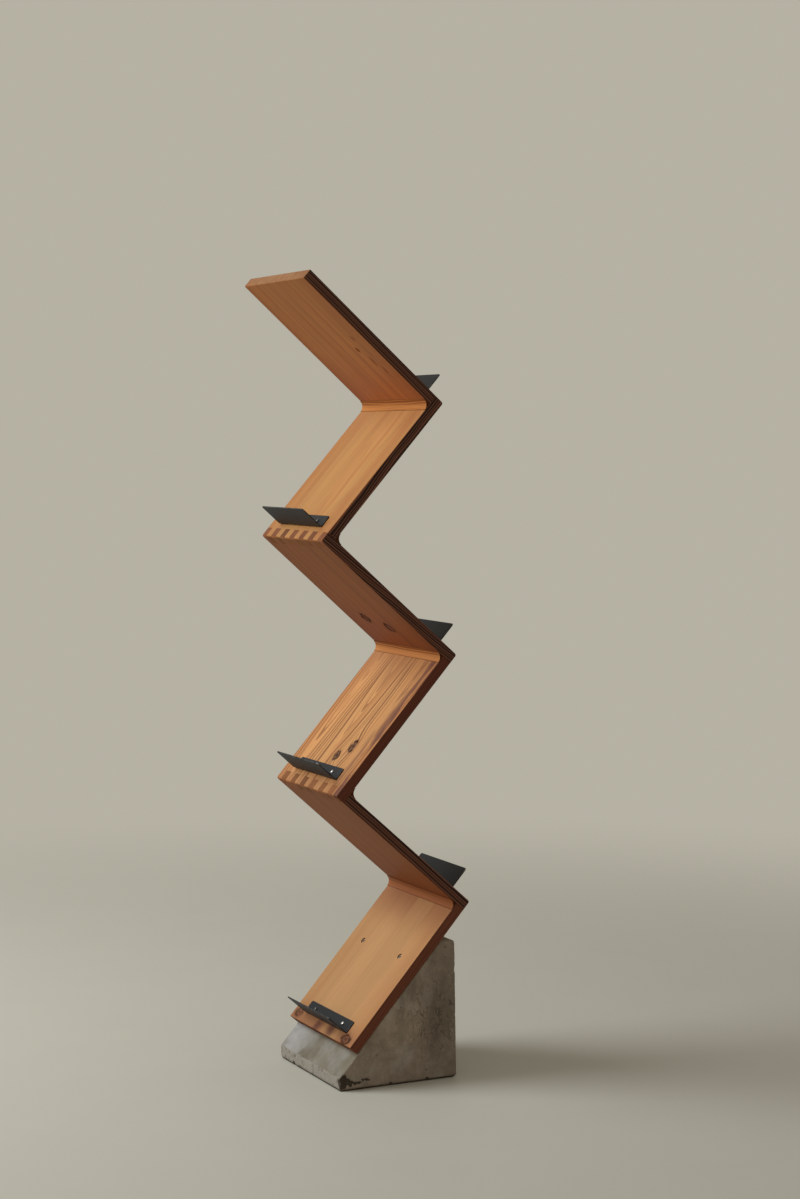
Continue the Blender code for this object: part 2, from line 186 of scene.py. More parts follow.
def combine(*parts):
    return wire(tree_of(parts), "ShaderNodeCombineXYZ", dict(enumerate(parts)))


def split(flow, kind="XYZ"):
    """The three parts of a vector or, with kind Color, of a colour."""
    first = wire(flow.tree, "ShaderNodeSeparate" + kind, {0: flow})
    return [Flow(socket) for socket in first.socket.node.outputs]


def ease(value, start, end, low=0.0, high=1.0):
    """Goes smoothly from low to high as the value goes from start to end."""
    limits = {"From Min": start, "From Max": end, "To Min": low, "To Max": high}
    return wire(value.tree, "ShaderNodeMapRange", {"Value": value, **limits},
                interpolation_type="SMOOTHSTEP")


def noise(point, scale, detail=2.0, out=0):
    """Noise around a point, from 0 to 1; a scale of three numbers stretches it."""
    if isinstance(scale, tuple):
        point = vectors("MULTIPLY", point, scale)
        scale = 1.0
    return wire(point.tree, "ShaderNodeTexNoise", {"Vector": point, "Scale": scale, "Detail": detail}, out)


def draw(value, out=0):
    """A random number or, with out 1, a random colour that depends on the value alone."""
    return wire(value.tree, "ShaderNodeTexWhiteNoise", {"W": value}, out, noise_dimensions="1D")


def towards(normal, direction):
    """How squarely a surface looks along a direction, from -1 to 1."""
    return vectors("DOT_PRODUCT", normal, direction, out=1)


print("patterns: ease, noise and draw")

# %% Helpers for materials
def mix(factor, first, second, how="MIX"):
    inputs = {0: factor, 6: first, 7: second}
    return wire(tree_of(inputs.values()), "ShaderNodeMix", inputs, 2, data_type="RGBA", blend_type=how)


def shade(colour, level):
    """Multiplies a colour by a level."""
    grey = wire(level.tree, "ShaderNodeCombineColor", {0: level, 1: level, 2: level})
    return mix(1.0, colour, grey, "MULTIPLY")


def bump(height, strength, depth):
    return wire(height.tree, "ShaderNodeBump", {"Height": height, "Strength": strength, "Distance": depth})


def new_material(name):
    """A material, its Principled shader, and its Object coordinates and normal."""
    material = bpy.data.materials.new(name)
    material.use_nodes = True
    point = wire(material.node_tree, "ShaderNodeTexCoord", out="Object")
    normal = Flow(point.socket.node.outputs["Normal"])
    return material, material.node_tree.nodes["Principled BSDF"], point, normal


print("materials: colours mix, shade and take bumps")

# %% [markdown]
# ## Pine
# A plank shows growth rings in a different way on each face: long flames or stripes on the broad faces,
# fine parallel lines along the edges, arcs on the ends. Painting those faces one by one would never line
# up. Here the wood is solid instead: the material works out how far each point lies from the middle of the
# tree, and the planes of the board cut through those rings just as a saw does. Each board is glued up from
# staves, and every stave gets a tree of its own. A knot pushes the rings aside before it darkens them.

# %% Pine: staves
def staves(x, y, z, look):
    """Distances from each stave's own pith, its number, three draws for it, and nearness to a glue line."""
    across = x / look.stave + (look.seed + look.shift)
    index = maths("FLOOR", across)
    chance = split(draw(index + 0.37, out=1), "Color")
    inside = across - index - 0.5
    sideways = inside * look.stave - look.pith_across + (chance[0] * 0.02 - 0.01)
    side = maths("ROUND", chance[1]) * 2.0 - 1.0
    depth = chance[2] * (0.3 * look.pith_depth) + look.pith_depth
    tilt = chance[0] * (1.2 * look.tilt) + 0.4 * look.tilt
    upward = z + side * (y * tilt + depth)
    seam = ease(abs(inside), 0.5 - 0.5 * MM / look.stave, 0.5)
    return sideways, upward, index, chance, seam


print("pine: every stave has its own pith")

# %% Pine: knots
Knot = namedtuple("Knot", "across up half_width half_length outline heart")


def knot_marks(x, y, rough, patch, knots):
    """How far knots push the rings aside, their halo, their body, and their dark core and rim."""
    push, halo, body, dark = 0.0, 0.0, 0.0, 0.0
    for knot in knots:
        wide = (x - knot.across) / knot.half_width
        long = (y - knot.up) / knot.half_length
        far = wide * wide + long * long
        push = maths("EXPONENT", far * -0.2) * (1.5 * knot.half_width) + push
        reach = rough * 1.2 + (maths("SQRT", far) - 0.6)
        halo = larger(halo, ease(reach, 2.0, 0.5, 0.0, 0.8 - 0.35 * knot.outline))
        body = larger(body, ease(reach, 1.15, 0.85, 0.0, knot.heart))
        rim = ease(reach, 0.55, 0.85) * ease(reach, 1.3, 0.95) * ease(patch, 0.36, 0.50, 0.0, knot.outline)
        dark = larger(dark, larger(rim, ease(reach, 0.38, 0.15, 0.0, knot.heart)))
    return push, halo, body, dark


print("pine: a knot is", ", ".join(Knot._fields))

# %% Pine: growth rings
STREAK = (60.0, 1.7, 60.0)                          # scales across, along and through a board
FIBRE = (700.0, 14.0, 700.0)
BAND = (24.0, 0.9, 24.0)
KNOT_ROUGHNESS = (160.0, 60.0, 160.0)


def uneven(rings, scale, detail):
    """A slow change from ring to ring, so that wide and narrow years take turns."""
    return wire(rings.tree, "ShaderNodeTexNoise", {"W": rings, "Scale": scale, "Detail": detail},
                noise_dimensions="1D")


def ring_lines(rings, start, full, softness, weakest):
    """One line for each year: it darkens from start to full and then ends, and some years are stronger."""
    year = maths("FRACT", rings)
    strength = draw(maths("FLOOR", rings)) * (1.0 - weakest) + weakest
    return ease(year, start, full) * ease(year, 1.0, 1.0 - softness) * strength


def growth_rings(point, look):
    """Where a point lies on its board and in its tree, with all that the colour needs."""
    x, y, z = split(point)
    sideways, upward, index, chance, seam = staves(x, y, z, look)
    own = vectors("ADD", point, combine(index * 3.7, look.seed * 1.3))
    drift = split(noise(own, (9.0, look.drift_rate, 9.0), 1.0, out=1), "Color")
    sideways = (drift[0] - 0.5) * look.drift + sideways
    upward = (drift[1] - 0.5) * look.drift + upward
    push, halo, body, dark = knot_marks(x, y, noise(own, KNOT_ROUGHNESS), noise(own, 65.0), look.knots)
    away = vectors("LENGTH", combine(sideways, upward * look.round), out=1)
    away = abs(upward) * (1.0 - look.round) + away
    rings = (away + push) / look.ring
    rings = uneven(rings + index, 0.45, 1.0) * 2.4 + rings
    late = ring_lines(rings, look.late_start, look.late_full, look.softness, look.weakest)
    fine = ring_lines(rings * 3.3, 0.3, 0.97, 0.3, 0.3)
    return SimpleNamespace(x=x, y=y, z=z, own=own, chance=chance, seam=seam, halo=halo, body=body,
                           dark=dark, late=larger(late, fine * look.fine), streak=noise(own, STREAK, 3.0),
                           fibre=noise(own, FIBRE, 3.0), band=noise(own, BAND))


def edge_lines(grain, look):
    """The rings where the sawn long edges cut them: a few lines along the board, which wander and slant."""
    level = noise(grain.own, (20.0, 5.0, 20.0)) * look.edge_wander + grain.z + grain.y * look.edge_slant
    rings = level / look.edge_ring
    rings = uneven(rings + look.seed, 0.6, 0.0) * 0.6 + rings
    strength = draw(maths("FLOOR", rings)) * 0.35 + 0.65
    return ease(abs(maths("FRACT", rings) - 0.5), 0.44, 0.24) * strength


print("pine: rings on the faces, lines on the edges")

# %% [markdown]
# ## Pine: colour and polish
# Late wood is darker and harder than early wood, so it tints the colour, lowers the roughness and stands a
# trace proud. Broad bands, long streaks and fine fibres break up the rings, and the oil has reddened the
# margins. End grain drinks more oil and turns a dull purple-brown, each finger a little differently, and
# the sawn long edges are a deep maroon. Both follow the surface's normal, so the rounded tips fade from one
# to the other.

# %% Pine: the usual board
# low tints a board's lower end next to the inner corner: painted shade, and on board 6 also painted bounce
# light
PINE = dict(stave=0.13, shift=0.5, pith_across=0.0, pith_depth=0.075, round=1.0, tilt=0.03, drift=0.012,
            drift_rate=2.6, late_start=0.35, late_full=0.97, softness=0.25, weakest=0.5, fine=0.3,
            streak=0.5, band=0.24, stave_tone=0.10, margin=0.45, stain_at=0.12, stain=0.0, rim=1.0,
            finger_tone=0.5, edge_ring=0.0048, edge_slant=0.0, edge_wander=0.008, length=9.0, handled=0.4,
            knots=[], late=(0.28, 0.090, 0.024), warm=(0.42, 0.135, 0.038), edge_early=(0.27, 0.108, 0.064),
            edge_late=(0.022, 0.009, 0.006), knot=(0.20, 0.080, 0.046), halo=(0.17, 0.062, 0.044),
            end=(0.60, 0.50, 0.52), low=(1.0, 1.0, 1.0))
KNOT_DARK = (0.016, 0.008, 0.006)
STAIN = (0.17, 0.062, 0.044)
HANDLED = (0.43, 0.188, 0.080)
FINGER_TONE_STEP = 0.020
print("pine:", len(PINE), "settings that a board may change")

# %% Pine: broad faces
def colour_with_wear_and_painted_shade(grain, look):
    """Rings and streaks, then the margins, the handled ends, painted shade at the lower end and the stain
    that lie over them.
    """
    colour = mix(grain.late * look.contrast, look.early, look.late)
    colour = mix(ease(grain.streak, 0.44, 0.70, 0.0, look.streak), colour, look.warm)
    margin = ease(abs(grain.x), 0.06, 0.132) * ease(grain.band, 0.25, 0.6)
    colour = mix(margin * look.margin, colour, look.warm)
    to_end = maths("MINIMUM", grain.y * 2.0, (look.length - 0.02) - grain.y)
    handled = ease(to_end, 0.10, 0.015, 0.0, look.handled) * (grain.chance[0] * 0.8 + 0.6)
    colour = mix(handled, colour, HANDLED)
    # Painted shade: low darkens and reddens a board's lower end by the inner corner, for shade and warm
    # bounce light there
    colour = mix(ease(grain.y, 0.18, 0.04), colour, look.low, "MULTIPLY")
    broken = ease(noise(grain.own, (70.0, 13.0, 70.0), 3.0), 0.44, 0.60)
    stain = ease(abs(grain.x - look.stain_at), 0.045, 0.0) * broken
    return mix(stain * look.stain, colour, STAIN)


def face_colour(grain, look):
    """The broad faces: bands and fibres, dark glue lines and rims, and the knots on top; on a cove the rims
    are glue lines and painted shade.
    """
    tone = grain.chance[2] * look.stave_tone + (1.0 - (look.stave_tone + look.band) / 2)
    tone = grain.band * look.band + tone
    tone = tone * (grain.fibre * 0.36 + 0.82) * (grain.seam * -0.4 + 1.0)
    # On a cove, rim darkens the thin edges where the strip meets the boards: partly a glue line, partly
    # painted shade in the crease
    outer = larger(grain.x, abs(grain.z))
    tone = tone * ease(outer, look.rim - 1.4 * MM, look.rim, 1.0, 0.3)
    colour = shade(colour_with_wear_and_painted_shade(grain, look), tone)
    colour = mix(grain.halo, colour, look.halo)
    colour = mix(grain.body * 0.8, colour, look.knot)
    return mix(grain.dark * 0.9, colour, KNOT_DARK)


print("pine: broad faces have rings, margins, stains and knots")

# %% Pine: the whole finish
def pine(name, place, **changes):
    """Oiled pine whose grain runs along y of the given place."""
    look = SimpleNamespace(**{**PINE, **changes})
    material, shader, point, normal = new_material(name)
    back = place.inverted()
    point = wire(point.tree, "ShaderNodeMapping", {"Vector": point, "Location": back.translation,
                                                   "Rotation": back.to_euler()})
    grain = growth_rings(point, look)
    colour = face_colour(grain, look)
    finger = maths("FLOOR", grain.x / FINGER_TONE_STEP + 0.5)
    own_tone = draw(finger + look.seed) * look.finger_tone + (1.0 - look.finger_tone / 2)
    end_grain = shade(mix(1.0, colour, look.end, "MULTIPLY"), own_tone)
    ends = ease(abs(towards(normal, place.col[1].xyz)), 0.55, 0.85)
    colour = mix(ends, colour, end_grain)
    sawn = mix(edge_lines(grain, look), look.edge_early, look.edge_late)
    edges = ease(abs(towards(normal, place.col[0].xyz)), 0.6, 0.9)
    colour = mix(edges, colour, shade(sawn, grain.fibre * 0.7 + 0.65))
    polish = grain.fibre * 0.2 + 0.48 + grain.late * -0.07 + larger(grain.body, grain.dark) * 0.5
    relief = grain.fibre * 0.6 + grain.late * 0.5 + grain.dark * -0.6
    plug(shader, {"Base Color": colour, "Roughness": maths("ADD", polish, ends * 0.2, clamp=True),
                  "Specular IOR Level": 0.16, "Normal": bump(relief, 0.35, 0.25 * MM)})
    return material


print("pine: ends and edges join the faces")

# %% [markdown]
# ## Six boards, six characters
# A maker picks boards, and no two are alike. Board 1 is pale and quiet, and board 3 is boldly striped with
# long flames; both have plain edges. The others are soft on the face and finely lined along their edges.
# Boards 2 and 4 are made darker than board 6, and board 6 a little redder, as painted shade and painted
# bounce light for their undersides.
# One material for all would look like printed foil, so each board changes a few settings. Its knots are
# written as places on the board: across it, up from its lower end, half sizes, and how strong their outline
# and heart are.

# %% The six boards' wood
BOARD_WOOD = {
    1: dict(seed=3, stave=0.065, shift=0.0, pith_across=0.12, pith_depth=0.02, ring=0.013, contrast=0.04,
            fine=0.2, streak=0.10, band=0.10, stave_tone=0.20, margin=0.5, handled=0.75,
            early=(0.65, 0.355, 0.150), edge_early=(0.235, 0.078, 0.040), edge_late=(0.175, 0.058, 0.031),
            knots=[Knot(-0.108, 0.014, 0.012, 0.009, 0.7, 0.5), Knot(-0.020, 0.006, 0.009, 0.012, 0.0, 0.3),
                   Knot(0.032, 0.012, 0.011, 0.011, 0.0, 0.3), Knot(0.098, 0.010, 0.015, 0.009, 0.8, 0.6)]),
    # Board 2: the dark early colour and the low tint are partly painted shade, for the little light that
    # reaches its underside
    2: dict(seed=11, ring=0.0058, contrast=0.25, streak=0.35, handled=0.0, early=(0.40, 0.146, 0.045),
            warm=(0.29, 0.092, 0.028), low=(0.83, 0.75, 0.80), end=(0.78, 0.86, 1.05)),
    3: dict(seed=23, stave=0.087, pith_depth=0.055, ring=0.0062, round=0.2, contrast=0.8, fine=0.45,
            tilt=-0.04, late_start=0.40, late_full=0.56, softness=0.10, weakest=0.15, drift=0.013,
            drift_rate=3.5, stain=0.9, streak=0.3, early=(0.82, 0.415, 0.156), late=(0.165, 0.048, 0.013),
            edge_early=(0.180, 0.052, 0.028), edge_late=(0.150, 0.044, 0.023), end=(0.76, 0.68, 0.70),
            knot=(0.15, 0.080, 0.056),
            knots=[Knot(0.025, 0.075, 0.0085, 0.010, 1.0, 0.9),
                   Knot(0.058, 0.100, 0.008, 0.013, 1.0, 0.9)]),
    # Board 4: the dark early colour and the low tint are partly painted shade, for the little light that
    # reaches its underside
    4: dict(seed=31, ring=0.0050, contrast=0.25, tilt=0.06, handled=0.0, early=(0.42, 0.150, 0.047),
            warm=(0.28, 0.088, 0.027), low=(0.83, 0.73, 0.84), end=(0.62, 0.66, 0.90),
            edge_ring=0.0042, edge_slant=0.07, knot=(0.16, 0.062, 0.034),
            knots=[Knot(0.049, 0.107, 0.012, 0.011, 1.0, 0.5),
                   Knot(-0.0175, 0.086, 0.012, 0.012, 1.0, 0.25)]),
    5: dict(seed=43, stave=0.065, shift=0.0, ring=0.012, contrast=0.25, drift=0.018, streak=0.4, fine=0.2,
            stave_tone=0.14, margin=0.5, handled=0.25, early=(0.62, 0.305, 0.098),
            end=(0.76, 0.68, 0.70), edge_ring=0.0054, edge_wander=0.024),
    # Board 6: a slightly redder early colour and the low tint are painted bounce light from board 5
    6: dict(seed=59, stave=0.065, shift=0.1, ring=0.0056, contrast=0.28, streak=0.6, handled=0.0,
            early=(0.58, 0.240, 0.075), warm=(0.40, 0.124, 0.036), low=(0.92, 0.80, 0.86),
            end=(0.63, 0.75, 1.04), finger_tone=0.05, edge_ring=0.0041, knot=(0.19, 0.052, 0.016),
            halo=(0.30, 0.088, 0.022),
            knots=[Knot(-0.063, 0.161, 0.0040, 0.005, 0.0, 0.6),
                   Knot(-0.086, 0.188, 0.0025, 0.005, 0.0, 0.2),
                   Knot(-0.079, 0.132, 0.0025, 0.010, 0.0, 0.2),
                   Knot(-0.091, 0.107, 0.0025, 0.009, 0.0, 0.2)]),
}
board_pine = {number: pine(f"pine_board_{number}", BOARD_PLACE[number], length=BOARD_LENGTH[number], **wood)
              for number, wood in BOARD_WOOD.items()}
print("pine:", ", ".join(material.name for material in board_pine.values()))

# %% [markdown]
# ## Trees that cut and drill
# Finger slots, screw holes and bolt holes all repeat, which is what Geometry Nodes are for. A tree with
# named inputs sets out the points, puts a cutter on each, and takes them from the piece with a Mesh
# Boolean. The same two trees then serve six boards, six ledges and the base. Every tree here ends alike:
# instances become real faces, and the finish is set.

# %% Tree helpers
def new_tree(name, **inputs):
    """A Geometry Nodes tree with named inputs; gives the tree and its input flows."""
    tree = bpy.data.node_groups.new(name, "GeometryNodeTree")
    for label, kind in {"Geometry": "Geometry", **inputs, "Finish": "Material"}.items():
        tree.interface.new_socket(label, in_out="INPUT", socket_type="NodeSocket" + kind)
    tree.interface.new_socket("Geometry", in_out="OUTPUT", socket_type="NodeSocketGeometry")
    return tree, {socket.name: Flow(socket) for socket in tree.nodes.new("NodeGroupInput").outputs}


def close_tree(tree, given, geometry):
    real = wire(tree, "GeometryNodeRealizeInstances", {"Geometry": geometry})
    dressed = wire(tree, "GeometryNodeSetMaterial", {"Geometry": real, "Material": given["Finish"]})
    plug(tree.nodes.new("NodeGroupOutput"), {"Geometry": dressed})
    print("tree:", tree.name, "with", len(tree.nodes), "nodes")
    return tree


def use_tree(item, tree, **values):
    """Adds a tree to an object and sets its inputs by their sockets' identifiers."""
    modifier = item.modifiers.new(tree.name, "NODES")
    modifier.node_group = tree
    for socket in tree.interface.items_tree:
        if socket.in_out == "INPUT" and socket.name in values:
            modifier[socket.identifier] = values[socket.name]


def settle(item):
    """Turns what an object's modifiers make into its own plain mesh."""
    depsgraph = bpy.context.evaluated_depsgraph_get()
    made = item.evaluated_get(depsgraph)
    mesh = bpy.data.meshes.new_from_object(made, preserve_all_data_layers=True, depsgraph=depsgraph)
    item.modifiers.clear()
    old, item.data = item.data, mesh
    bpy.data.meshes.remove(old)


print("trees: named inputs, and one ending for all")

# %% Trees: finger slots and drilled pairs
def cut_at(tree, given, points, cutter):
    """Ends a tree that takes a copy of the cutter from the piece at every point."""
    copies = wire(tree, "GeometryNodeInstanceOnPoints", {"Points": points, "Instance": cutter})
    real = wire(tree, "GeometryNodeRealizeInstances", {"Geometry": copies})
    cut = wire(tree, "GeometryNodeMeshBoolean", {"Mesh 1": given["Geometry"], "Mesh 2": real},
               operation="DIFFERENCE", solver="EXACT")
    return close_tree(tree, given, cut)


def finger_slot_tree():
    """A row of box cutters across one end of a board."""
    tree, given = new_tree("finger_slots", Count="Int", First="Float", Step="Float", Along="Float",
                           Width="Float", Depth="Float", Height="Float")
    row = wire(tree, "GeometryNodeMeshLine", {"Count": given["Count"], "Offset": combine(given["Step"]),
                                              "Start Location": combine(given["First"], given["Along"])})
    size = combine(given["Width"], given["Depth"], given["Height"])
    return cut_at(tree, given, row, wire(tree, "GeometryNodeMeshCube", {"Size": size}))


def drilled_pair_tree():
    """Two round holes at one height on a board, on either side of its middle."""
    tree, given = new_tree("drilled_pair", Spacing="Float", Along="Float", Top="Float", Bottom="Float",
                           Diameter="Float", Sides="Int")
    middle = (given["Top"] + given["Bottom"]) * 0.5
    first = combine(given["Spacing"] * -0.5, given["Along"], middle)
    pair = wire(tree, "GeometryNodeMeshLine", {"Count": 2, "Start Location": first,
                                               "Offset": combine(given["Spacing"])})
    bit = wire(tree, "GeometryNodeMeshCylinder", {"Vertices": given["Sides"],
                                                  "Radius": given["Diameter"] * 0.5,
                                                  "Depth": given["Top"] - given["Bottom"]})
    return cut_at(tree, given, pair, bit)


FINGER_SLOTS = finger_slot_tree()
DRILLED_PAIR = drilled_pair_tree()

# %% [markdown]
# ## Mesh helpers
# Boards, coves, ledges and the base are all drawn as an outline seen from the side and then extruded across
# the shelf. Round corners are written as a corner with a radius. Weighted normals keep the broad faces flat
# where they meet a softened edge, without a dense mesh.

# %% Outlines and prisms
ARC_STEPS = 8
SIDE_STEPS = 3


def rounded(corners):
    """Turns (y, z, radius) corners into a closed outline whose corners are arcs."""
    outline = []
    for index, (y, z, radius) in enumerate(corners):
        corner = Vector((y, z))
        if radius == 0:
            outline.append(corner)
            continue
        before = (Vector(corners[index - 1][:2]) - corner).normalized()
        after = (Vector(corners[(index + 1) % len(corners)][:2]) - corner).normalized()
        half_angle = before.angle(after) / 2
        centre = corner + (before + after).normalized() * radius / math.sin(half_angle)
        first = corner + before * radius / math.tan(half_angle) - centre
        last = corner + after * radius / math.tan(half_angle) - centre
        turn = first.angle_signed(last)
        for step in range(ARC_STEPS + 1):
            arm = first.copy()
            arm.rotate(Matrix.Rotation(-turn * step / ARC_STEPS, 2))
            outline.append(centre + arm)
    return outline


def extruded(bm, corners):
    """A face through the corners, extruded but not moved yet; gives back the new corners."""
    face = bm.faces.new([bm.verts.new(corner) for corner in corners])
    grown = bmesh.ops.extrude_face_region(bm, geom=[face])["geom"]
    return [item for item in grown if isinstance(item, bmesh.types.BMVert)]


def prism(outline, width):
    """Extrudes a side outline across the shelf, centred on x = 0."""
    bm = bmesh.new()
    moved = extruded(bm, [(-width / 2, y, z) for y, z in outline])
    bmesh.ops.translate(bm, verts=moved, vec=(width, 0, 0))
    bmesh.ops.recalc_face_normals(bm, faces=bm.faces)
    return bm


def bevel(bm, edges, radius, steps):
    """Rounds edges and gives back the new faces."""
    made = bmesh.ops.bevel(bm, geom=edges, offset=radius, segments=steps, profile=0.5, affect="EDGES")
    return made["faces"]


def soften_sides(bm, radius):
    """Rounds the edges round both side faces of a prism."""
    sides = [face for face in bm.faces if abs(face.normal.x) > 0.999]
    bevel(bm, list({edge for face in sides for edge in face.edges}), radius, SIDE_STEPS)


print("outlines: each round corner has", ARC_STEPS, "steps")

# %% Finished pieces
SMOOTH_ANGLE = math.radians(35)


def new_object(name, bm):
    mesh = bpy.data.meshes.new(name)
    bm.to_mesh(mesh)
    bm.free()
    item = bpy.data.objects.new(name, mesh)
    bpy.context.collection.objects.link(item)
    return item


def even_shading(item):
    """Smooth shading that keeps flat faces flat."""
    item.data.shade_smooth()
    item.data.set_sharp_from_angle(angle=SMOOTH_ANGLE)
    item.modifiers.new("even_shading", "WEIGHTED_NORMAL").keep_sharp = True
    settle(item)


def middle_of(node):
    low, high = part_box(node)
    return (low + high) / 2


def middle_in(node, place):
    """Middle of a CAD node in a piece's own frame."""
    return place.inverted() @ middle_of(node)


def hand_over(item, place, finish, slot, *nodes):
    """Puts a finished piece's place into its mesh, gives it its finish and ties it to the frame."""
    item.data.transform(place)
    item.data.materials.clear()
    item.data.materials.append(finish)
    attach(item, "root")
    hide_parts(*nodes)
    print(f"{item.name}: {len(item.data.polygons)} faces for {len(nodes)} node(s)")


print("pieces: edges under", round(math.degrees(SMOOTH_ANGLE)), "degrees are smooth")

# %% [markdown]
# ## Boards
# A board starts as a prism with softened long edges. Its outer tips are rounded as if the glued corner had
# been sanded, and the fingers are cut afterwards, so the rounding runs across both boards' fingers without
# a step. The alternative, modelling thirteen fingers one by one, would have to repeat that rounding on
# each.

# %% Boards: outline and fingers
TIP_RADIUS = 4 * MM
EDGE_RADIUS = 1.2 * MM
GLUE_LINE = 0.08 * MM
OVERCUT = 4 * MM
FINGERS = 13
PITCH = WIDTH / FINGERS
OUTER_FINGERS = {1: 2, 2: 3, 3: 4, 4: 4, 5: 5}      # corner: the board that owns its outermost fingers


def board_outline(number):
    """Side outline: outer tips are rounded, free ends only softened, finger roots left sharp."""
    length = BOARD_LENGTH[number]
    bottom = (EDGE_RADIUS, EDGE_RADIUS) if number == 1 else (0, TIP_RADIUS)
    top = (EDGE_RADIUS, EDGE_RADIUS) if number == 6 else (TIP_RADIUS, 0)
    return rounded([(0, -HALF_BOARD, bottom[0]), (length, -HALF_BOARD, top[0]),
                    (length, HALF_BOARD, top[1]), (0, HALF_BOARD, bottom[1])])


def cut_fingers(board, number, corner, finish):
    """Cuts one end's slots, where the neighbour's fingers go through."""
    owns_outer = OUTER_FINGERS[corner] == number
    reach = THICKNESS + GLUE_LINE
    middle = (reach - OVERCUT) / 2
    use_tree(board, FINGER_SLOTS, Count=FINGERS // 2 + (not owns_outer), Step=2 * PITCH,
             First=PITCH / 2 - WIDTH / 2 + owns_outer * PITCH,
             Along=middle if corner < number else BOARD_LENGTH[number] - middle,
             Width=PITCH + GLUE_LINE, Depth=reach + OVERCUT, Height=THICKNESS + OVERCUT, Finish=finish)


print("fingers:", FINGERS, "to a corner,", round(PITCH / MM, 2), "mm each")

# %% Boards: one after the other
PILOT_DIAMETER = 3.7 * MM
BOLT_HEAD_BORE = 10.6 * MM
BOLT_SHANK_BORE = 6.6 * MM
BOLT_WEB = 10 * MM                                  # wood left under the bolt's head
SMALL_HOLE_SIDES = 32
BOLT_HOLE_SIDES = 48


def drill(item, middle, top, bottom, diameter, finish, sides=SMALL_HOLE_SIDES):
    """Two holes that mirror each other across the piece; middle is the fastener's place in its frame."""
    use_tree(item, DRILLED_PAIR, Spacing=2 * abs(middle.x), Along=middle.y, Top=top, Bottom=bottom,
             Diameter=diameter, Sides=sides, Finish=finish)


def make_board(number):
    finish = board_pine[number]
    place = BOARD_PLACE[number]
    normal = rise(number + 1)
    bm = prism(board_outline(number), WIDTH)
    soften_sides(bm, EDGE_RADIUS)
    board = new_object(f"pine_board_{number}", bm)
    for corner in {number - 1, number} & set(CORNERS):
        cut_fingers(board, number, corner, finish)
    screw = f"ledge_screw_{number}_a"
    screw_point = span(screw, normal)[0] - place.translation.dot(normal)
    above = HALF_BOARD + OVERCUT
    drill(board, middle_in(screw, place), above, screw_point, PILOT_DIAMETER, finish)
    if number == 1:
        bolt = middle_in("base_bolt_a", place)
        drill(board, bolt, above, BOLT_WEB - HALF_BOARD, BOLT_HEAD_BORE, finish, BOLT_HOLE_SIDES)
        drill(board, bolt, HALF_BOARD, -above, BOLT_SHANK_BORE, finish, BOLT_HOLE_SIDES)
    settle(board)
    even_shading(board)
    hand_over(board, place, finish, "pine_board", f"board_{number}")


for number in BOARDS:
    make_board(number)

# %% [markdown]
# ## Cove strips
# A strip with a hollow quarter-round face is glued into each inner corner. Its grain runs across the shelf,
# so it gets a pine of its own whose y lies along the strip. A Bevel on the boards could fake the curve, but
# the strip is a separate stick with its own colour and a crisp thin edge where it meets the boards.

# %% Coves
COVE_EDGE = 0.4 * MM
COVE_STEPS = 20
COVE_WOOD = dict(stave=0.2, ring=0.0045, contrast=0.8, streak=0.2, handled=0.0, fine=0.5, weakest=0.15,
                 pith_across=0.03, pith_depth=0.02, drift=0.010, margin=0.0, edge_late=PINE["late"],
                 end=(0.16, 0.09, 0.07))
COVE_EARLY = {1: (0.38, 0.132, 0.046), 2: (0.54, 0.22, 0.062), 3: (0.64, 0.255, 0.072),
              4: (0.54, 0.22, 0.062), 5: (0.61, 0.228, 0.048)}


def cove_outline(leg):
    radius = leg - COVE_EDGE
    arc = [math.pi / 2 * step / COVE_STEPS for step in range(COVE_STEPS + 1)]
    return [Vector((0, 0)), Vector((leg, 0)),
            *(Vector((leg - radius * math.sin(turn), leg - radius * math.cos(turn))) for turn in arc),
            Vector((0, leg))]


def make_cove(corner):
    node = f"cove_{corner}"
    down, up = -rise(corner), rise(corner + 1)
    place = place_on(node, down, up)
    grain = Matrix((down, ACROSS, down.cross(ACROSS))).transposed().to_4x4()
    grain.translation = place.translation
    leg = extent(node, up)
    early = COVE_EARLY[corner]
    # rim=leg darkens the strip's thin edges, partly as a glue line and partly as painted shade
    finish = pine(f"pine_cove_{corner}", grain, seed=70 + 7 * corner, rim=leg, early=early,
                  edge_early=early, **COVE_WOOD)
    strip = new_object(f"cove_strip_{corner}", prism(cove_outline(leg), WIDTH))
    even_shading(strip)
    hand_over(strip, place, finish, "pine_cove", node)


for corner in CORNERS:
    make_cove(corner)

# %% [markdown]
# ## Black steel
# The ledges are sheet steel under a satin black coat. Paint on steel is never one black: it has a fine
# orange peel, a little dust that dulls it in patches, and edges where handling has rubbed it thin. The
# edges and tips are painted light grey, partly for that wear and partly as a painted highlight where they
# catch the light. This mark is an attribute that the ledge's own bevels carry, which stays put from every
# side, where a mask made from the view would slide.

# %% Black steel finish
def marked(tree, label):
    """A number that the mesh carries under a label."""
    return wire(tree, "ShaderNodeAttribute", out="Fac", attribute_name=label)


def black_steel():
    material, shader, point, _ = new_material("black_steel")
    dust = noise(point, 14.0, 4.0)
    # Painted highlight: marked edges and tips turn light grey, partly worn paint and partly a painted
    # highlight
    worn = marked(point.tree, "wear_and_highlight") * ease(noise(point, 130.0, 3.0), 0.40, 0.62)
    colour = mix(ease(dust, 0.3, 0.75), (0.010, 0.012, 0.017), (0.018, 0.020, 0.026))
    plug(shader, {"Base Color": mix(worn, colour, (0.36, 0.36, 0.35)), "Specular IOR Level": 0.22,
                  "Roughness": dust * 0.22 + 0.40 + worn * -0.12,
                  "Normal": bump(noise(point, 900.0), 0.12, 0.05 * MM)})
    return material


BLACK_STEEL = black_steel()
print("finish:", BLACK_STEEL.name)

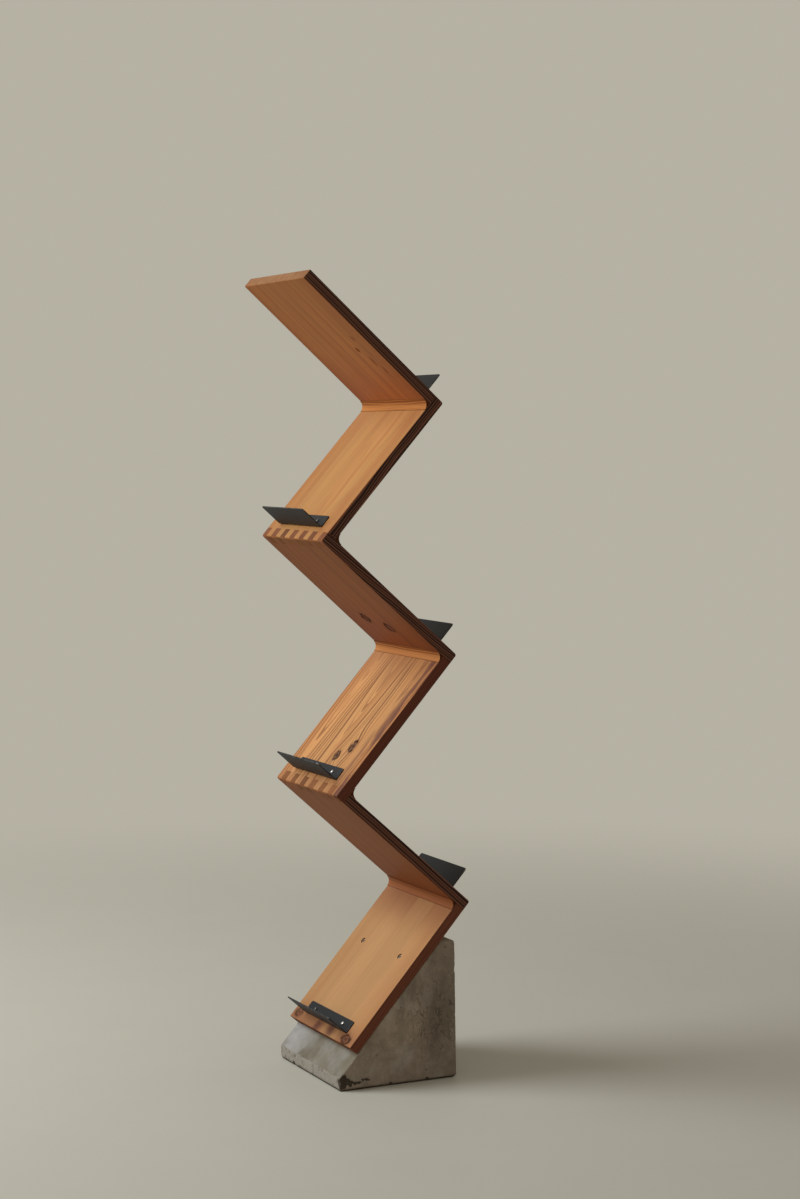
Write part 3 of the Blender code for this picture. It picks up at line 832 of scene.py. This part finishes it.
# %% [markdown]
# ## Ledges
# Each ledge is one strip of sheet, folded square: a flange on the board and a shelf that stands out of it.
# The fold is an arc in the side outline, the free corners are rounded, and every cut edge is eased a
# little, because a perfectly sharp edge catches no light. All six are alike, so one function makes them.

# %% Ledges: the folded sheet
LEDGE_WIDTH = extent("ledge_1", ACROSS)
LEDGE_FLANGE = extent("ledge_1", rise(1))
LEDGE_DEPTH = extent("ledge_1", rise(2))
LEDGE_PLATE = 2 * MM
LEDGE_FOLD = 1.5 * MM                               # inside radius
LEDGE_CORNER = 4 * MM
LEDGE_EASE = 0.45 * MM
EASE_STEPS = 2
SHARP = math.radians(40)
EDGE_WEAR_AND_HIGHLIGHT = 0.4                                      # how light the paint is made, as wear and painted highlight: on every edge, and on the tips
TIP_WEAR_AND_HIGHLIGHT = 1.0


def ledge_blank():
    """The folded sheet with square corners."""
    return prism(rounded([(0, 0, LEDGE_FOLD + LEDGE_PLATE), (LEDGE_FLANGE, 0, 0),
                          (LEDGE_FLANGE, LEDGE_PLATE, 0), (LEDGE_PLATE, LEDGE_PLATE, LEDGE_FOLD),
                          (LEDGE_PLATE, LEDGE_DEPTH, 0), (0, LEDGE_DEPTH, 0)]), LEDGE_WIDTH)


def ledge_sheet():
    """The sheet with round corners and eased edges, and a mark on the eased faces and tips for wear and
    painted highlight.
    """
    bm = ledge_blank()
    mark = bm.faces.layers.float.new("wear_and_highlight")
    lips = []
    for edge in bm.edges:
        middle = (edge.verts[0].co + edge.verts[1].co) / 2
        at_side = abs(middle.x) > LEDGE_WIDTH / 2 - LEDGE_PLATE / 4
        at_lip = middle.z > LEDGE_DEPTH - LEDGE_PLATE / 4 or middle.y > LEDGE_FLANGE - LEDGE_PLATE / 4
        if at_side and at_lip:
            lips.append(edge)
    bevel(bm, lips, LEDGE_CORNER, ARC_STEPS)
    sharp = [edge for edge in bm.edges if edge.calc_face_angle() > SHARP]
    for face in bevel(bm, sharp, LEDGE_EASE, EASE_STEPS):
        face[mark] = EDGE_WEAR_AND_HIGHLIGHT
    for face in bm.faces:
        middle = face.calc_center_median()
        at_tip = abs(middle.x) > LEDGE_WIDTH / 2 - LEDGE_CORNER and middle.z > LEDGE_DEPTH - LEDGE_CORNER
        if at_tip and abs(face.normal.y) < 0.9:
            face[mark] = TIP_WEAR_AND_HIGHLIGHT
    return bm


print("ledge:", [round(side / MM, 1) for side in (LEDGE_WIDTH, LEDGE_FLANGE, LEDGE_DEPTH)], "mm")

# %% Ledges: one after the other
def make_ledge(number):
    node = f"ledge_{number}"
    place = place_on(node, rise(number), rise(number + 1))
    ledge = new_object(f"steel_ledge_{number}", ledge_sheet())
    screw = middle_in(f"ledge_screw_{number}_a", place)
    drill(ledge, screw, LEDGE_PLATE + OVERCUT, -OVERCUT, PILOT_DIAMETER, BLACK_STEEL)
    settle(ledge)
    even_shading(ledge)
    hand_over(ledge, place, BLACK_STEEL, "black_steel", node)


for number in BOARDS:
    make_ledge(number)

# %% [markdown]
# ## Zinc
# The screws are bright zinc-plated steel, and the bolts have dulled down in their holes. At this size a
# fastener is mostly its reflection, so the finish is metallic with an uneven roughness and a second, duller
# tone in clouds. A few screws are made nearly black and rougher, as a painted dark reflection.

# %% Zinc finish
DARK_REFLECTION_ZINC = (0.075, 0.070, 0.062)


def zinc(name, roughness, bright, dull):
    material, shader, point, _ = new_material(name)
    cloud = noise(point, 350.0, 3.0)
    # Painted reflection: marked screws turn nearly black, standing in for screws that reflect dark
    # surroundings
    painted_dark_reflection = marked(point.tree, "painted_dark_reflection")
    colour = mix(ease(cloud, 0.35, 0.7), bright, dull)
    plug(shader, {"Base Color": mix(painted_dark_reflection * 0.85, colour, DARK_REFLECTION_ZINC), "Metallic": 1.0,
                  "Roughness": painted_dark_reflection * 0.2 + roughness + cloud * 0.2,
                  "Normal": bump(cloud, 0.1, 0.03 * MM)})
    return material


SCREW_ZINC = zinc("zinc_screw", 0.24, (0.72, 0.72, 0.71), (0.58, 0.56, 0.51))
BOLT_ZINC = zinc("zinc_bolt", 0.45, (0.52, 0.43, 0.35), (0.42, 0.34, 0.27))
ANCHOR_ZINC = zinc("anchor_steel", 0.35, (0.60, 0.60, 0.58), (0.45, 0.43, 0.38))
print("finishes:", SCREW_ZINC.name, BOLT_ZINC.name, ANCHOR_ZINC.name)

# %% [markdown]
# ## Fasteners
# Twelve screws and two bolts are copies of two shapes, so a tree puts one shape on a cloud of points. Each
# point is a seat that carries the direction of its hole; the tree turns the shape to it and then spins it
# by a random angle, because no one drives twelve screws to the same angle. The seed is fixed, so they never
# change.

# %% Tree: fasteners on their seats
def shape_of(item):
    """The mesh of an object that a tree is given."""
    return wire(item.tree, "GeometryNodeObjectInfo", {"Object": item}, "Geometry")


def fastener_tree():
    tree, given = new_tree("fasteners", Shape="Object", Seed="Int")
    axis = wire(tree, "GeometryNodeInputNamedAttribute", {"Name": "axis"}, data_type="FLOAT_VECTOR")
    upright = wire(tree, "FunctionNodeAlignRotationToVector", {"Vector": axis}, axis="Z")
    angle = wire(tree, "FunctionNodeRandomValue", {2: 0.0, 3: math.pi, "Seed": given["Seed"]}, 1)
    spin = wire(tree, "FunctionNodeAxisAngleToRotation", {"Axis": (0, 0, 1), "Angle": angle})
    turn = wire(tree, "FunctionNodeRotateRotation", {"Rotation": upright, "Rotate By": spin},
                rotation_space="LOCAL")
    copies = wire(tree, "GeometryNodeInstanceOnPoints", {"Points": given["Geometry"], "Rotation": turn,
                                                         "Instance": shape_of(given["Shape"])})
    return close_tree(tree, given, copies)


FASTENERS = fastener_tree()


def fasten(name, shape, seats, seed, finish, slot, nodes):
    """One piece with a copy of the shape on every seat, given as (point, axis, aged)."""
    bm = bmesh.new()
    axes = bm.verts.layers.float_vector.new("axis")
    dark_reflection_layer = bm.verts.layers.float.new("painted_dark_reflection")
    for point, axis, painted_dark_reflection in seats:
        seat = bm.verts.new(point)
        seat[axes] = axis
        seat[dark_reflection_layer] = painted_dark_reflection
    group = new_object(name, bm)
    use_tree(group, FASTENERS, Shape=shape, Seed=seed, Finish=finish)
    settle(group)
    bpy.data.objects.remove(shape)
    even_shading(group)
    hand_over(group, Matrix.Identity(4), finish, slot, *nodes)


# %% [markdown]
# A fastener is turned on a lathe, so its shape is a profile of radii and heights, and the recess for the
# driver is cut into the head. Under each bolt head lies a thin washer, which spreads the load on the soft
# wood.

# %% Turning and cutting
HEAD_STEPS = 32


def turned(profile):
    """Turns a list of (radius, height) points that starts and ends on the axis."""
    bm = bmesh.new()
    rings = []
    for radius, height in profile:
        angles = [math.tau * step / HEAD_STEPS for step in range(HEAD_STEPS if radius else 1)]
        rings.append([bm.verts.new((radius * math.cos(a), radius * math.sin(a), height)) for a in angles])
    for upper, lower in zip(rings, rings[1:]):
        for step in range(HEAD_STEPS):
            after = (step + 1) % HEAD_STEPS
            loop = [upper[step % len(upper)], upper[after % len(upper)],
                    lower[after % len(lower)], lower[step % len(lower)]]
            bm.faces.new(list(dict.fromkeys(loop)))
    bmesh.ops.recalc_face_normals(bm, faces=bm.faces)
    return bm


def recess(outline, floor, top, taper):
    """A cutter that opens upwards from a floor outline."""
    bm = bmesh.new()
    for vertex in extruded(bm, [(x, y, floor) for x, y in outline]):
        vertex.co = (vertex.co.x * taper, vertex.co.y * taper, top)
    bmesh.ops.recalc_face_normals(bm, faces=bm.faces)
    return bm


def with_recess(name, body, cutter):
    item, tool = new_object(name, body), new_object(name + "_recess", cutter)
    item.modifiers.new("recess", "BOOLEAN").object = tool
    settle(item)
    bpy.data.objects.remove(tool)
    return item


print("turning:", HEAD_STEPS, "steps round a head")

# %% Screw and bolt shapes
SCREW_HEAD_HEIGHT = 2.4 * MM
BOLT_HEAD_HEIGHT = 6 * MM


def screw_shape(length):
    """A pan head with a cross recess on a shank with a point; the head's seat is at z = 0."""
    head, height, shank, point = 3.8 * MM, SCREW_HEAD_HEIGHT, 1.8 * MM, 4 * MM
    rim = height * 0.3
    dome = [(head * math.sin(turn), rim + (height - rim) * math.cos(turn))
            for turn in (math.pi / 2 * step / ARC_STEPS for step in range(1, ARC_STEPS + 1))]
    body = turned([(0, height), *dome, (head, 0), (shank, 0), (shank, point - length), (0, -length)])
    long, short, deep, flare = 1.7 * MM, 0.45 * MM, 1.5 * MM, 1.45
    quarter = [(long, short), (short, short), (short, long)]
    turns = [Matrix.Rotation(turn * math.pi / 2, 2) for turn in range(4)]
    cross = [turn @ Vector(corner) for turn in turns for corner in quarter]
    return with_recess("screw_shape", body, recess(cross, height - deep, height + MM, flare))


def bolt_shape(length):
    """A cylinder head with a hexagon socket, a washer and a plain shank; the washer's seat is at z = 0."""
    washer, plate = 5.2 * MM, 0.8 * MM
    head, height, shank, chamfer = 4.9 * MM, BOLT_HEAD_HEIGHT + plate, 3 * MM, 0.7 * MM
    body = turned([(0, height), (head - chamfer, height), (head, height - chamfer), (head, plate),
                   (washer, plate), (washer, 0), (shank, 0), (shank, chamfer - length),
                   (shank - chamfer, -length), (0, -length)])
    key, deep = 5 * MM, 3 * MM
    corner = key / 2 / math.cos(math.pi / 6)
    hexagon = [Matrix.Rotation(turn * math.pi / 3, 2) @ Vector((corner, 0)) for turn in range(6)]
    return with_recess("bolt_shape", body, recess(hexagon, height - deep, height + MM, 1.0))


print("heads:", round(SCREW_HEAD_HEIGHT / MM, 1), "and", round(BOLT_HEAD_HEIGHT / MM, 1), "mm high")

# %% Screws and bolts in place
SCREW_SEED = 5
BOLT_SEED = 8
# Screws painted nearly black as a painted dark reflection
DARK_REFLECTING_SCREWS = {"ledge_screw_1_a", "ledge_screw_4_b", "ledge_screw_5_a", "ledge_screw_5_b"}


def seats_of(nodes, axes, head_height):
    """The seat under each fastener's head, and the fastener's length below it."""
    seats = []
    for node, axis in zip(nodes, axes):
        middle = middle_of(node)
        bottom, top = span(node, axis)
        seats.append((middle + axis * (top - head_height - axis.dot(middle)), axis, float(node in DARK_REFLECTING_SCREWS)))
    return seats, top - head_height - bottom


screw_nodes = [f"ledge_screw_{number}_{side}" for number in BOARDS for side in "ab"]
screw_axes = [rise(number + 1) for number in BOARDS for side in "ab"]
screw_seats, screw_length = seats_of(screw_nodes, screw_axes, SCREW_HEAD_HEIGHT)
fasten("ledge_screws", screw_shape(screw_length), screw_seats, SCREW_SEED, SCREW_ZINC, "zinc_screw",
       screw_nodes)
bolt_nodes = ["base_bolt_a", "base_bolt_b"]
bolt_seats, bolt_length = seats_of(bolt_nodes, [rise(2)] * 2, BOLT_HEAD_HEIGHT)
fasten("base_bolts", bolt_shape(bolt_length), bolt_seats, BOLT_SEED, BOLT_ZINC, "zinc_bolt", bolt_nodes)

# %% [markdown]
# The two sleeve anchors sit inside the concrete and their CAD shape is already right, so they stay and only
# get a finish.

# %% Anchors
for node in ("base_anchor_a", "base_anchor_b"):
    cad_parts[node].data.materials.clear()
    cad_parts[node].data.materials.append(ANCHOR_ZINC)
print("anchors: two CAD nodes kept")

# %% [markdown]
# ## Concrete
# Cast concrete is grey only from afar. Close by it is mottled, with damp-looking stains, paler bloom where
# the cement rose to the mould, sand-coloured specks and pits. The pits and chips are real hollows in the
# mesh, and the mesh tells the material where they are through two attributes, so that it can darken them as
# painted shade. A dark line along the foot is a painted contact shadow.

# %% Concrete: faces and patterns
FRONT = Vector((0, -1, 0))


def concrete_patterns(point, normal):
    """The noises that the finish is mixed from, and which of the wedge's faces a point lies on."""
    across, along, height = split(point)
    slope = ease(towards(normal, RISE_FRONT), 0.85, 0.97)
    nose = maths("SUBTRACT", ease(towards(normal, FRONT), 0.5, 0.85), slope, clamp=True)
    upright = maths("SUBTRACT", 1.0, slope + nose, clamp=True)
    return SimpleNamespace(point=point, across=across, along=along, height=height, slope=slope, nose=nose,
                           upright=upright, cloud=noise(point, 9.0, 5.0), bloom=noise(point, 17.0, 6.0),
                           mottle=noise(point, 75.0, 5.0), sand=noise(point, 420.0, 3.0),
                           stain=noise(point, (30.0, 30.0, 9.0), 5.0),
                           scuff=noise(point, (90.0, 90.0, 55.0), 4.0))


print("concrete: a trowelled slope, a crumbly nose and upright sides")

# %% Concrete: stains and bloom
SCRAPED = (0.13, 0.085, 0.12)                       # a patch of scratches high on one side
WORN = (0.13, 0.02, 0.11)                           # a paler patch beside it


def stained_grey(cast):
    """The broad grey of each face, with its smears and scratches."""
    colour = mix(ease(cast.cloud, 0.3, 0.7), (0.245, 0.212, 0.165), (0.325, 0.288, 0.232))
    # Painted fill light: upright faces are made about a fifth lighter, for light on the sides that face away
    # from the key
    colour = mix(cast.upright, colour, (1.20, 1.14, 1.12), "MULTIPLY")
    colour = mix(cast.slope, colour, (0.82, 0.83, 0.77), "MULTIPLY")
    low_back = ease(cast.along, 0.05, 0.08) * ease(cast.height, 0.19, 0.12)
    worn = ease(vectors("DISTANCE", cast.point, WORN, out=1), 0.08, 0.01, 0.0, 0.4)
    colour = shade(colour, low_back * cast.upright * -0.2 + 1.0 + worn)
    smear = ease(cast.stain, 0.46, 0.68, 0.0, 0.45) * cast.upright
    colour = mix(smear, colour, (0.158, 0.131, 0.100))
    scraped = ease(vectors("DISTANCE", cast.point, SCRAPED, out=1), 0.11, 0.03)
    scratch = larger(ease(cast.cloud, 0.48, 0.62, 0.0, 0.3), scraped) * ease(cast.mottle, 0.42, 0.58)
    thin = ease(abs(cast.scuff - 0.5), 0.05, 0.01, 0.0, 0.75)
    return mix(scratch * thin * cast.upright, colour, (0.10, 0.080, 0.058))


def bloomed(cast, colour):
    """Pale bloom on the slope and the sides, and a paler nose with crumbs."""
    milky = ease(cast.across, 0.02, -0.11) * ease(cast.bloom, 0.32, 0.55, 0.0, 0.8)
    milky = larger(milky, ease(cast.bloom, 0.46, 0.64, 0.0, 0.28))
    colour = mix(milky * cast.slope, colour, (0.49, 0.485, 0.475))
    pale = ease(cast.bloom, 0.50, 0.70, 0.0, 0.4) * cast.upright
    colour = mix(cast.nose * 0.75 + pale, colour, (0.47, 0.44, 0.385))
    crumbs = ease(cast.mottle, 0.52, 0.66, 0.0, 0.7) * cast.nose
    return mix(crumbs, colour, (0.13, 0.105, 0.075))


print("concrete: stains first, bloom over them")

# %% Concrete: the whole finish
def concrete():
    material, shader, point, normal = new_material("cast_concrete")
    cast = concrete_patterns(point, normal)
    grit = (cast.mottle * 0.8 + 0.6) * (cast.sand * 0.4 + 0.8)
    grit = (grit - 1.0) * (cast.slope * -0.5 + 1.0) + 1.0
    colour = shade(bloomed(cast, stained_grey(cast)), grit)
    # Painted shade: pits and chips darken towards near black, and the lowest few millimetres form a painted
    # contact shadow
    hollow = larger(marked(point.tree, "pit") * 0.5, ease(marked(point.tree, "chip"), 0.08, 0.35, 0.0, 0.9))
    foot = ease(cast.mottle * (-4 * MM) + cast.height, 2.5 * MM, 0.0, 0.0, 0.9)
    plug(shader, {"Base Color": mix(larger(hollow, foot), colour, (0.042, 0.032, 0.021)),
                  "Roughness": cast.bloom * -0.2 + 0.95, "Specular IOR Level": 0.3,
                  "Normal": bump(cast.sand * 0.8 + cast.mottle * 0.5, 0.5, 0.8 * MM)})
    return material


CONCRETE = concrete()
print("finish:", CONCRETE.name)

# %% [markdown]
# ## Concrete base: the surface
# A tree gives the smooth wedge its cast surface. Broad waves and grain come from noise, edges crumble where
# they lie near the drawn corner lines, and the foot tucks in above the floor. Air bubbles are points
# scattered over the faces, most of them on the upright front and few on the trowelled slope: every vertex
# looks up its nearest bubble and sinks by how deep it lies inside it. Cutting hundreds of spheres out with
# Booleans would give rounder pits, but it takes minutes and leaves ragged triangles. Everything moves
# inwards, so the wedge keeps its size and its stand.

# %% Hollows round points
def scaled(direction, length):
    return wire(direction.tree, "ShaderNodeVectorMath", {0: direction, 3: length}, operation="SCALE")


def store(geometry, label, value):
    inputs = {"Geometry": geometry, "Name": label, "Value": value}
    return wire(geometry.tree, "GeometryNodeStoreNamedAttribute", inputs)


def hollow_out(geometry, points, normal, depth, label):
    """Sinks the surface round points with a radius, and keeps how deep each vertex lies in its hollow."""
    tree = geometry.tree
    here = wire(tree, "GeometryNodeInputPosition")
    nearest = wire(tree, "GeometryNodeSampleNearest", {"Geometry": points, "Sample Position": here})
    held = wire(tree, "GeometryNodeInputNamedAttribute", {"Name": "radius"}, data_type="FLOAT")
    radius = wire(tree, "GeometryNodeSampleIndex", {"Geometry": points, "Value": held, "Index": nearest})
    middle = wire(tree, "GeometryNodeSampleIndex", {"Geometry": points, "Value": here, "Index": nearest},
                  data_type="FLOAT_VECTOR")
    ragged = noise(here, 150.0, 3.0) * 1.2 + 0.3
    share = vectors("DISTANCE", here, middle, out=1) * ragged / radius
    inside = maths("SUBTRACT", 1.0, share * share, clamp=True)
    kept = store(geometry, label, inside)
    sink = scaled(normal, inside * radius * -depth)
    return wire(tree, "GeometryNodeSetPosition", {"Geometry": kept, "Offset": sink})


print("hollows: bubbles and chips share one function")

# %% Tree: cast surface
PIT_DEPTH = 0.55                                    # shares of a hollow's radius
CHIP_DEPTH = 0.45


def rough_offset(given, here, normal, height):
    """How far the surface moves for its waves, its grain, its crumbled edges and its tucked-in foot."""
    wave = (noise(here, 8.0) - 1.0) * given["Wave"]
    grain = (noise(here, 110.0, 3.0) - 1.0) * given["Grain"]
    lines = shape_of(given["Lines"])
    near = wire(here.tree, "GeometryNodeProximity", {0: lines}, 1, target_element="EDGES")
    crumble = ease(near, 6 * MM, 1 * MM) * ease(noise(here, 70.0, 4.0), 0.54, 0.76)
    move = (wave + grain) * ease(height, 0.5 * MM, 3 * MM) - crumble * given["Bite"]
    tuck = ease(height, 5.5 * MM, 0.5 * MM) * given["Tuck"]
    level = vectors("MULTIPLY", normal, (1, 1, 0))
    return vectors("MULTIPLY_ADD", level, tuck * -1.0, scaled(normal, move))


def cast_surface_tree():
    tree, given = new_tree("cast_surface", Wave="Float", Grain="Float", Bite="Float", Tuck="Float",
                           Bubbles="Float", Smallest="Float", Largest="Float", Lines="Object",
                           Chips="Object", Seed="Int")
    here = wire(tree, "GeometryNodeInputPosition")
    normal = wire(tree, "GeometryNodeInputNormal")
    offset = rough_offset(given, here, normal, split(here)[2])
    cast = wire(tree, "GeometryNodeSetPosition", {"Geometry": given["Geometry"], "Offset": offset})
    slope = ease(towards(normal, RISE_FRONT), 0.9, 0.99)
    front = ease(towards(normal, FRONT), 0.8, 0.97)
    density = given["Bubbles"] * (front * 5.0 + 1.0 + slope * -0.85)
    bubbles = wire(tree, "GeometryNodeDistributePointsOnFaces", {"Mesh": cast, "Density": density,
                                                                 "Seed": given["Seed"]})
    chance = wire(tree, "FunctionNodeRandomValue", {2: 0.0, 3: 1.0, "Seed": given["Seed"]}, 1)
    size = maths("POWER", chance, 4.0) * (given["Largest"] - given["Smallest"]) + given["Smallest"]
    pitted = hollow_out(cast, store(bubbles, "radius", size), normal, PIT_DEPTH, "pit")
    chipped = hollow_out(pitted, shape_of(given["Chips"]), normal, CHIP_DEPTH, "chip")
    return close_tree(tree, given, chipped)


CAST_SURFACE = cast_surface_tree()

# %% [markdown]
# ## Concrete base: the wedge
# The wedge's outline is read from the frame: the slope's plane, the floor, the front, the back and the top.
# The blank is drilled for the anchors, remeshed into small even squares, and then given its cast surface.
# Remesh comes before the surface, because a tree can only move vertices that are there.

# %% Base: corners and corner lines
BASE_NOSE_RADIUS = 9 * MM
BASE_EDGE_RADIUS = 3 * MM
BASE_BACK_DRAFT = 4 * MM


def base_corners():
    """The wedge's corners from the slope's top round by the nose, with their radii."""
    (low, high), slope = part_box("concrete_base"), span("concrete_base", rise(2))[1]
    slope_y = (high.z * math.cos(LEAN) - slope) / math.sin(LEAN)
    nose_z = (slope + low.y * math.sin(LEAN)) / math.cos(LEAN)
    return [(slope_y, high.z, BASE_EDGE_RADIUS), (low.y, nose_z, BASE_NOSE_RADIUS),
            (low.y, low.z, BASE_EDGE_RADIUS), (high.y, low.z, BASE_EDGE_RADIUS),
            (high.y - BASE_BACK_DRAFT, high.z, BASE_EDGE_RADIUS)]


def corner_lines(corners):
    """The wedge's edges as bare lines."""
    bm = bmesh.new()
    rings = [[bm.verts.new((side * WIDTH / 2, y, z)) for y, z, radius in corners] for side in (-1, 1)]
    for ring in rings:
        for first, second in zip(ring, ring[1:] + ring[:1]):
            bm.edges.new((first, second))
    for left, right in zip(*rings):
        bm.edges.new((left, right))
    return bm


base_outline = base_corners()
print("base corners:", [(round(y / MM), round(z / MM)) for y, z, radius in base_outline], "mm back and up")

# %% Base: chips
CHIPS = [(-0.07, -0.104, 0.002, 0.006), (-0.131, -0.02, 0.001, 0.009), (0.04, 0.128, 0.001, 0.010),
         (-0.131, 0.126, 0.10, 0.007), (0.131, -0.004, 0.003, 0.004), (0.131, 0.068, 0.003, 0.004)]
CHIPPED_CORNER = (0.131, -0.100, 0.014)
CHIP_LENGTH = 54 * MM
CHIP_RADIUS = 11.5 * MM
CRACK_RADIUS = 3.6 * MM
CHIP_STEPS = 22
CHIP_SEED = 4


def corner_chip():
    """A broken corner that tapers into a crack along the side."""
    x, y, z = CHIPPED_CORNER
    chance = random.Random(CHIP_SEED)
    chips = []
    for step in range(CHIP_STEPS):
        share = step / (CHIP_STEPS - 1)
        radius = CHIP_RADIUS * max((1 - share * 2.4), 0.0) + CRACK_RADIUS * (1 - 0.35 * share)
        up = z + 2 * MM * math.sin(9 * share) + chance.uniform(-1.5, 1.5) * MM
        chips.append((x, y + CHIP_LENGTH * share, up, radius * chance.uniform(0.7, 1.2)))
    return chips


def chip_points(chips):
    bm = bmesh.new()
    size = bm.verts.layers.float.new("radius")
    for *point, radius in chips:
        bm.verts.new(point)[size] = radius
    return bm


print("chips:", len(CHIPS), "small ones and a broken corner of", CHIP_STEPS, "steps")

# %% Base: the wedge
BASE_SQUARE = 1.8 * MM
ANCHOR_BORE = 10.6 * MM


def drilled_blank(corners):
    """The smooth wedge with the two bores for the anchors."""
    bm = prism(rounded(corners), WIDTH)
    soften_sides(bm, BASE_EDGE_RADIUS)
    base = new_object("concrete_wedge", bm)
    place = BOARD_PLACE[1]
    base.data.transform(place.inverted())
    deep = span("base_anchor_a", rise(2))[0] - place.translation.dot(rise(2))
    drill(base, middle_in("base_anchor_a", place), 0.0, deep, ANCHOR_BORE, CONCRETE)
    settle(base)
    base.data.transform(place)
    return base


def make_base(corners):
    base = drilled_blank(corners)
    squares = base.modifiers.new("even_squares", "REMESH")
    squares.mode = "VOXEL"
    squares.voxel_size = BASE_SQUARE
    lines = new_object("corner_lines", corner_lines(corners))
    chips = new_object("chip_points", chip_points(CHIPS + corner_chip()))
    use_tree(base, CAST_SURFACE, Wave=0.8 * MM, Grain=0.25 * MM, Bite=1.8 * MM, Tuck=3.5 * MM,
             Bubbles=600.0, Smallest=0.8 * MM, Largest=3.5 * MM, Lines=lines, Chips=chips, Seed=12,
             Finish=CONCRETE)
    settle(base)
    for tool in (lines, chips):
        bpy.data.objects.remove(tool)
    base.data.shade_smooth()
    hand_over(base, Matrix.Identity(4), CONCRETE, "cast_concrete", "concrete_base")


make_base(base_outline)

# %% [markdown]
# ## Floor and backdrop
# The floor is plain and pale, and catches the shelf's soft shadow. A wall would get in the way of other
# views, so there is none: far from the shelf the floor takes on the colour of the world, for the camera and
# for reflections alone, and the two melt together without a horizon.

# %% World
BACKDROP = (0.465, 0.44, 0.368)
AMBIENT = (0.50, 0.44, 0.36)                        # round the horizon
OVERHEAD = (0.20, 0.19, 0.175)                      # straight above


def seen_directly(tree):
    """1 for rays that show the backdrop itself: camera, glossy and transmission rays."""
    ray = tree.nodes.new("ShaderNodeLightPath").outputs
    camera, glossy, through = (Flow(ray[f"Is {kind} Ray"]) for kind in ("Camera", "Glossy", "Transmission"))
    return larger(camera, larger(glossy, through))


def make_world():
    world = bpy.data.worlds.new("studio")
    world.use_nodes = True
    tree = world.node_tree
    height = split(wire(tree, "ShaderNodeTexCoord", out="Generated"))[2]
    ambient = mix(ease(height, 0.0, 0.9), AMBIENT, OVERHEAD)
    plug(tree.nodes["Background"], {"Color": mix(seen_directly(tree), ambient, BACKDROP)})
    bpy.context.scene.world = world
    return world


print("world:", make_world().name)

# %% Floor
FLOOR_BOUNCE = (0.28, 0.25, 0.21)                   # the floor as other surfaces see it
FLOOR_HALF = 30.0


def make_floor():
    bm = bmesh.new()
    bmesh.ops.create_grid(bm, x_segments=1, y_segments=1, size=FLOOR_HALF)
    floor = new_object("floor", bm)
    material, shader, point, _ = new_material("pale_floor")
    tree = point.tree
    colour = mix(noise(point, 6.0, 3.0), (0.665, 0.650, 0.563), (0.695, 0.680, 0.588))
    plug(shader, {"Base Color": mix(seen_directly(tree), FLOOR_BOUNCE, colour), "Roughness": 0.6,
                  "Specular IOR Level": 0.2})
    far = ease(vectors("LENGTH", point, out=1), 0.9, 3.0) * seen_directly(tree)
    glow = wire(tree, "ShaderNodeEmission", {"Color": BACKDROP})
    both = wire(tree, "ShaderNodeMixShader", {0: far, 1: Flow(shader.outputs[0]), 2: glow})
    plug(tree.nodes["Material Output"], {"Surface": both})
    floor.data.materials.append(material)


make_floor()
print("stage: a floor of", 2 * FLOOR_HALF, "m and a plain backdrop")

# %% [markdown]
# ## Light and camera
# The shelf is lit from the left by one broad soft source, as a window would, and the even light of the
# world fills the far sides. The camera stands at four fifths of the shelf's height, far enough away for a
# calm perspective, and looks slightly down.

# %% Light
KEY_TARGET = Vector((0, 0, 0.70))
KEY_FROM = Vector((-0.36, -0.73, 0.58)).normalized()
KEY_DISTANCE = 3.4
KEY_SIZE = 2.4
KEY_POWER = 82
KEY_COLOUR = (0.97, 1.0, 1.03)

key = bpy.data.objects.new("key_light", bpy.data.lights.new("key_light", "AREA"))
key.data.shape = "DISK"
key.data.size = KEY_SIZE
key.data.energy = KEY_POWER
key.data.color = KEY_COLOUR
key.location = KEY_TARGET + KEY_FROM * KEY_DISTANCE
key.rotation_euler = KEY_FROM.to_track_quat("Z", "Y").to_euler()
bpy.context.collection.objects.link(key)
print("light: a disk of", KEY_SIZE, "m with", KEY_POWER, "W")

# %% Camera
CAMERA_PLACE = (3.7982, -1.7953, 1.1295)
CAMERA_TURN = (math.radians(90 - 3.845), 0, math.radians(63.752))
CAMERA_LENS = 70.994

camera = bpy.data.objects.new("camera", bpy.data.cameras.new("camera"))
camera.location = CAMERA_PLACE
camera.rotation_euler = CAMERA_TURN
camera.data.lens = CAMERA_LENS
bpy.context.collection.objects.link(camera)
bpy.context.scene.camera = camera
bpy.context.scene.view_settings.view_transform = "Standard"
print("camera:", CAMERA_LENS, "mm lens,", round(camera.location.length, 2), "m from the shelf's foot")
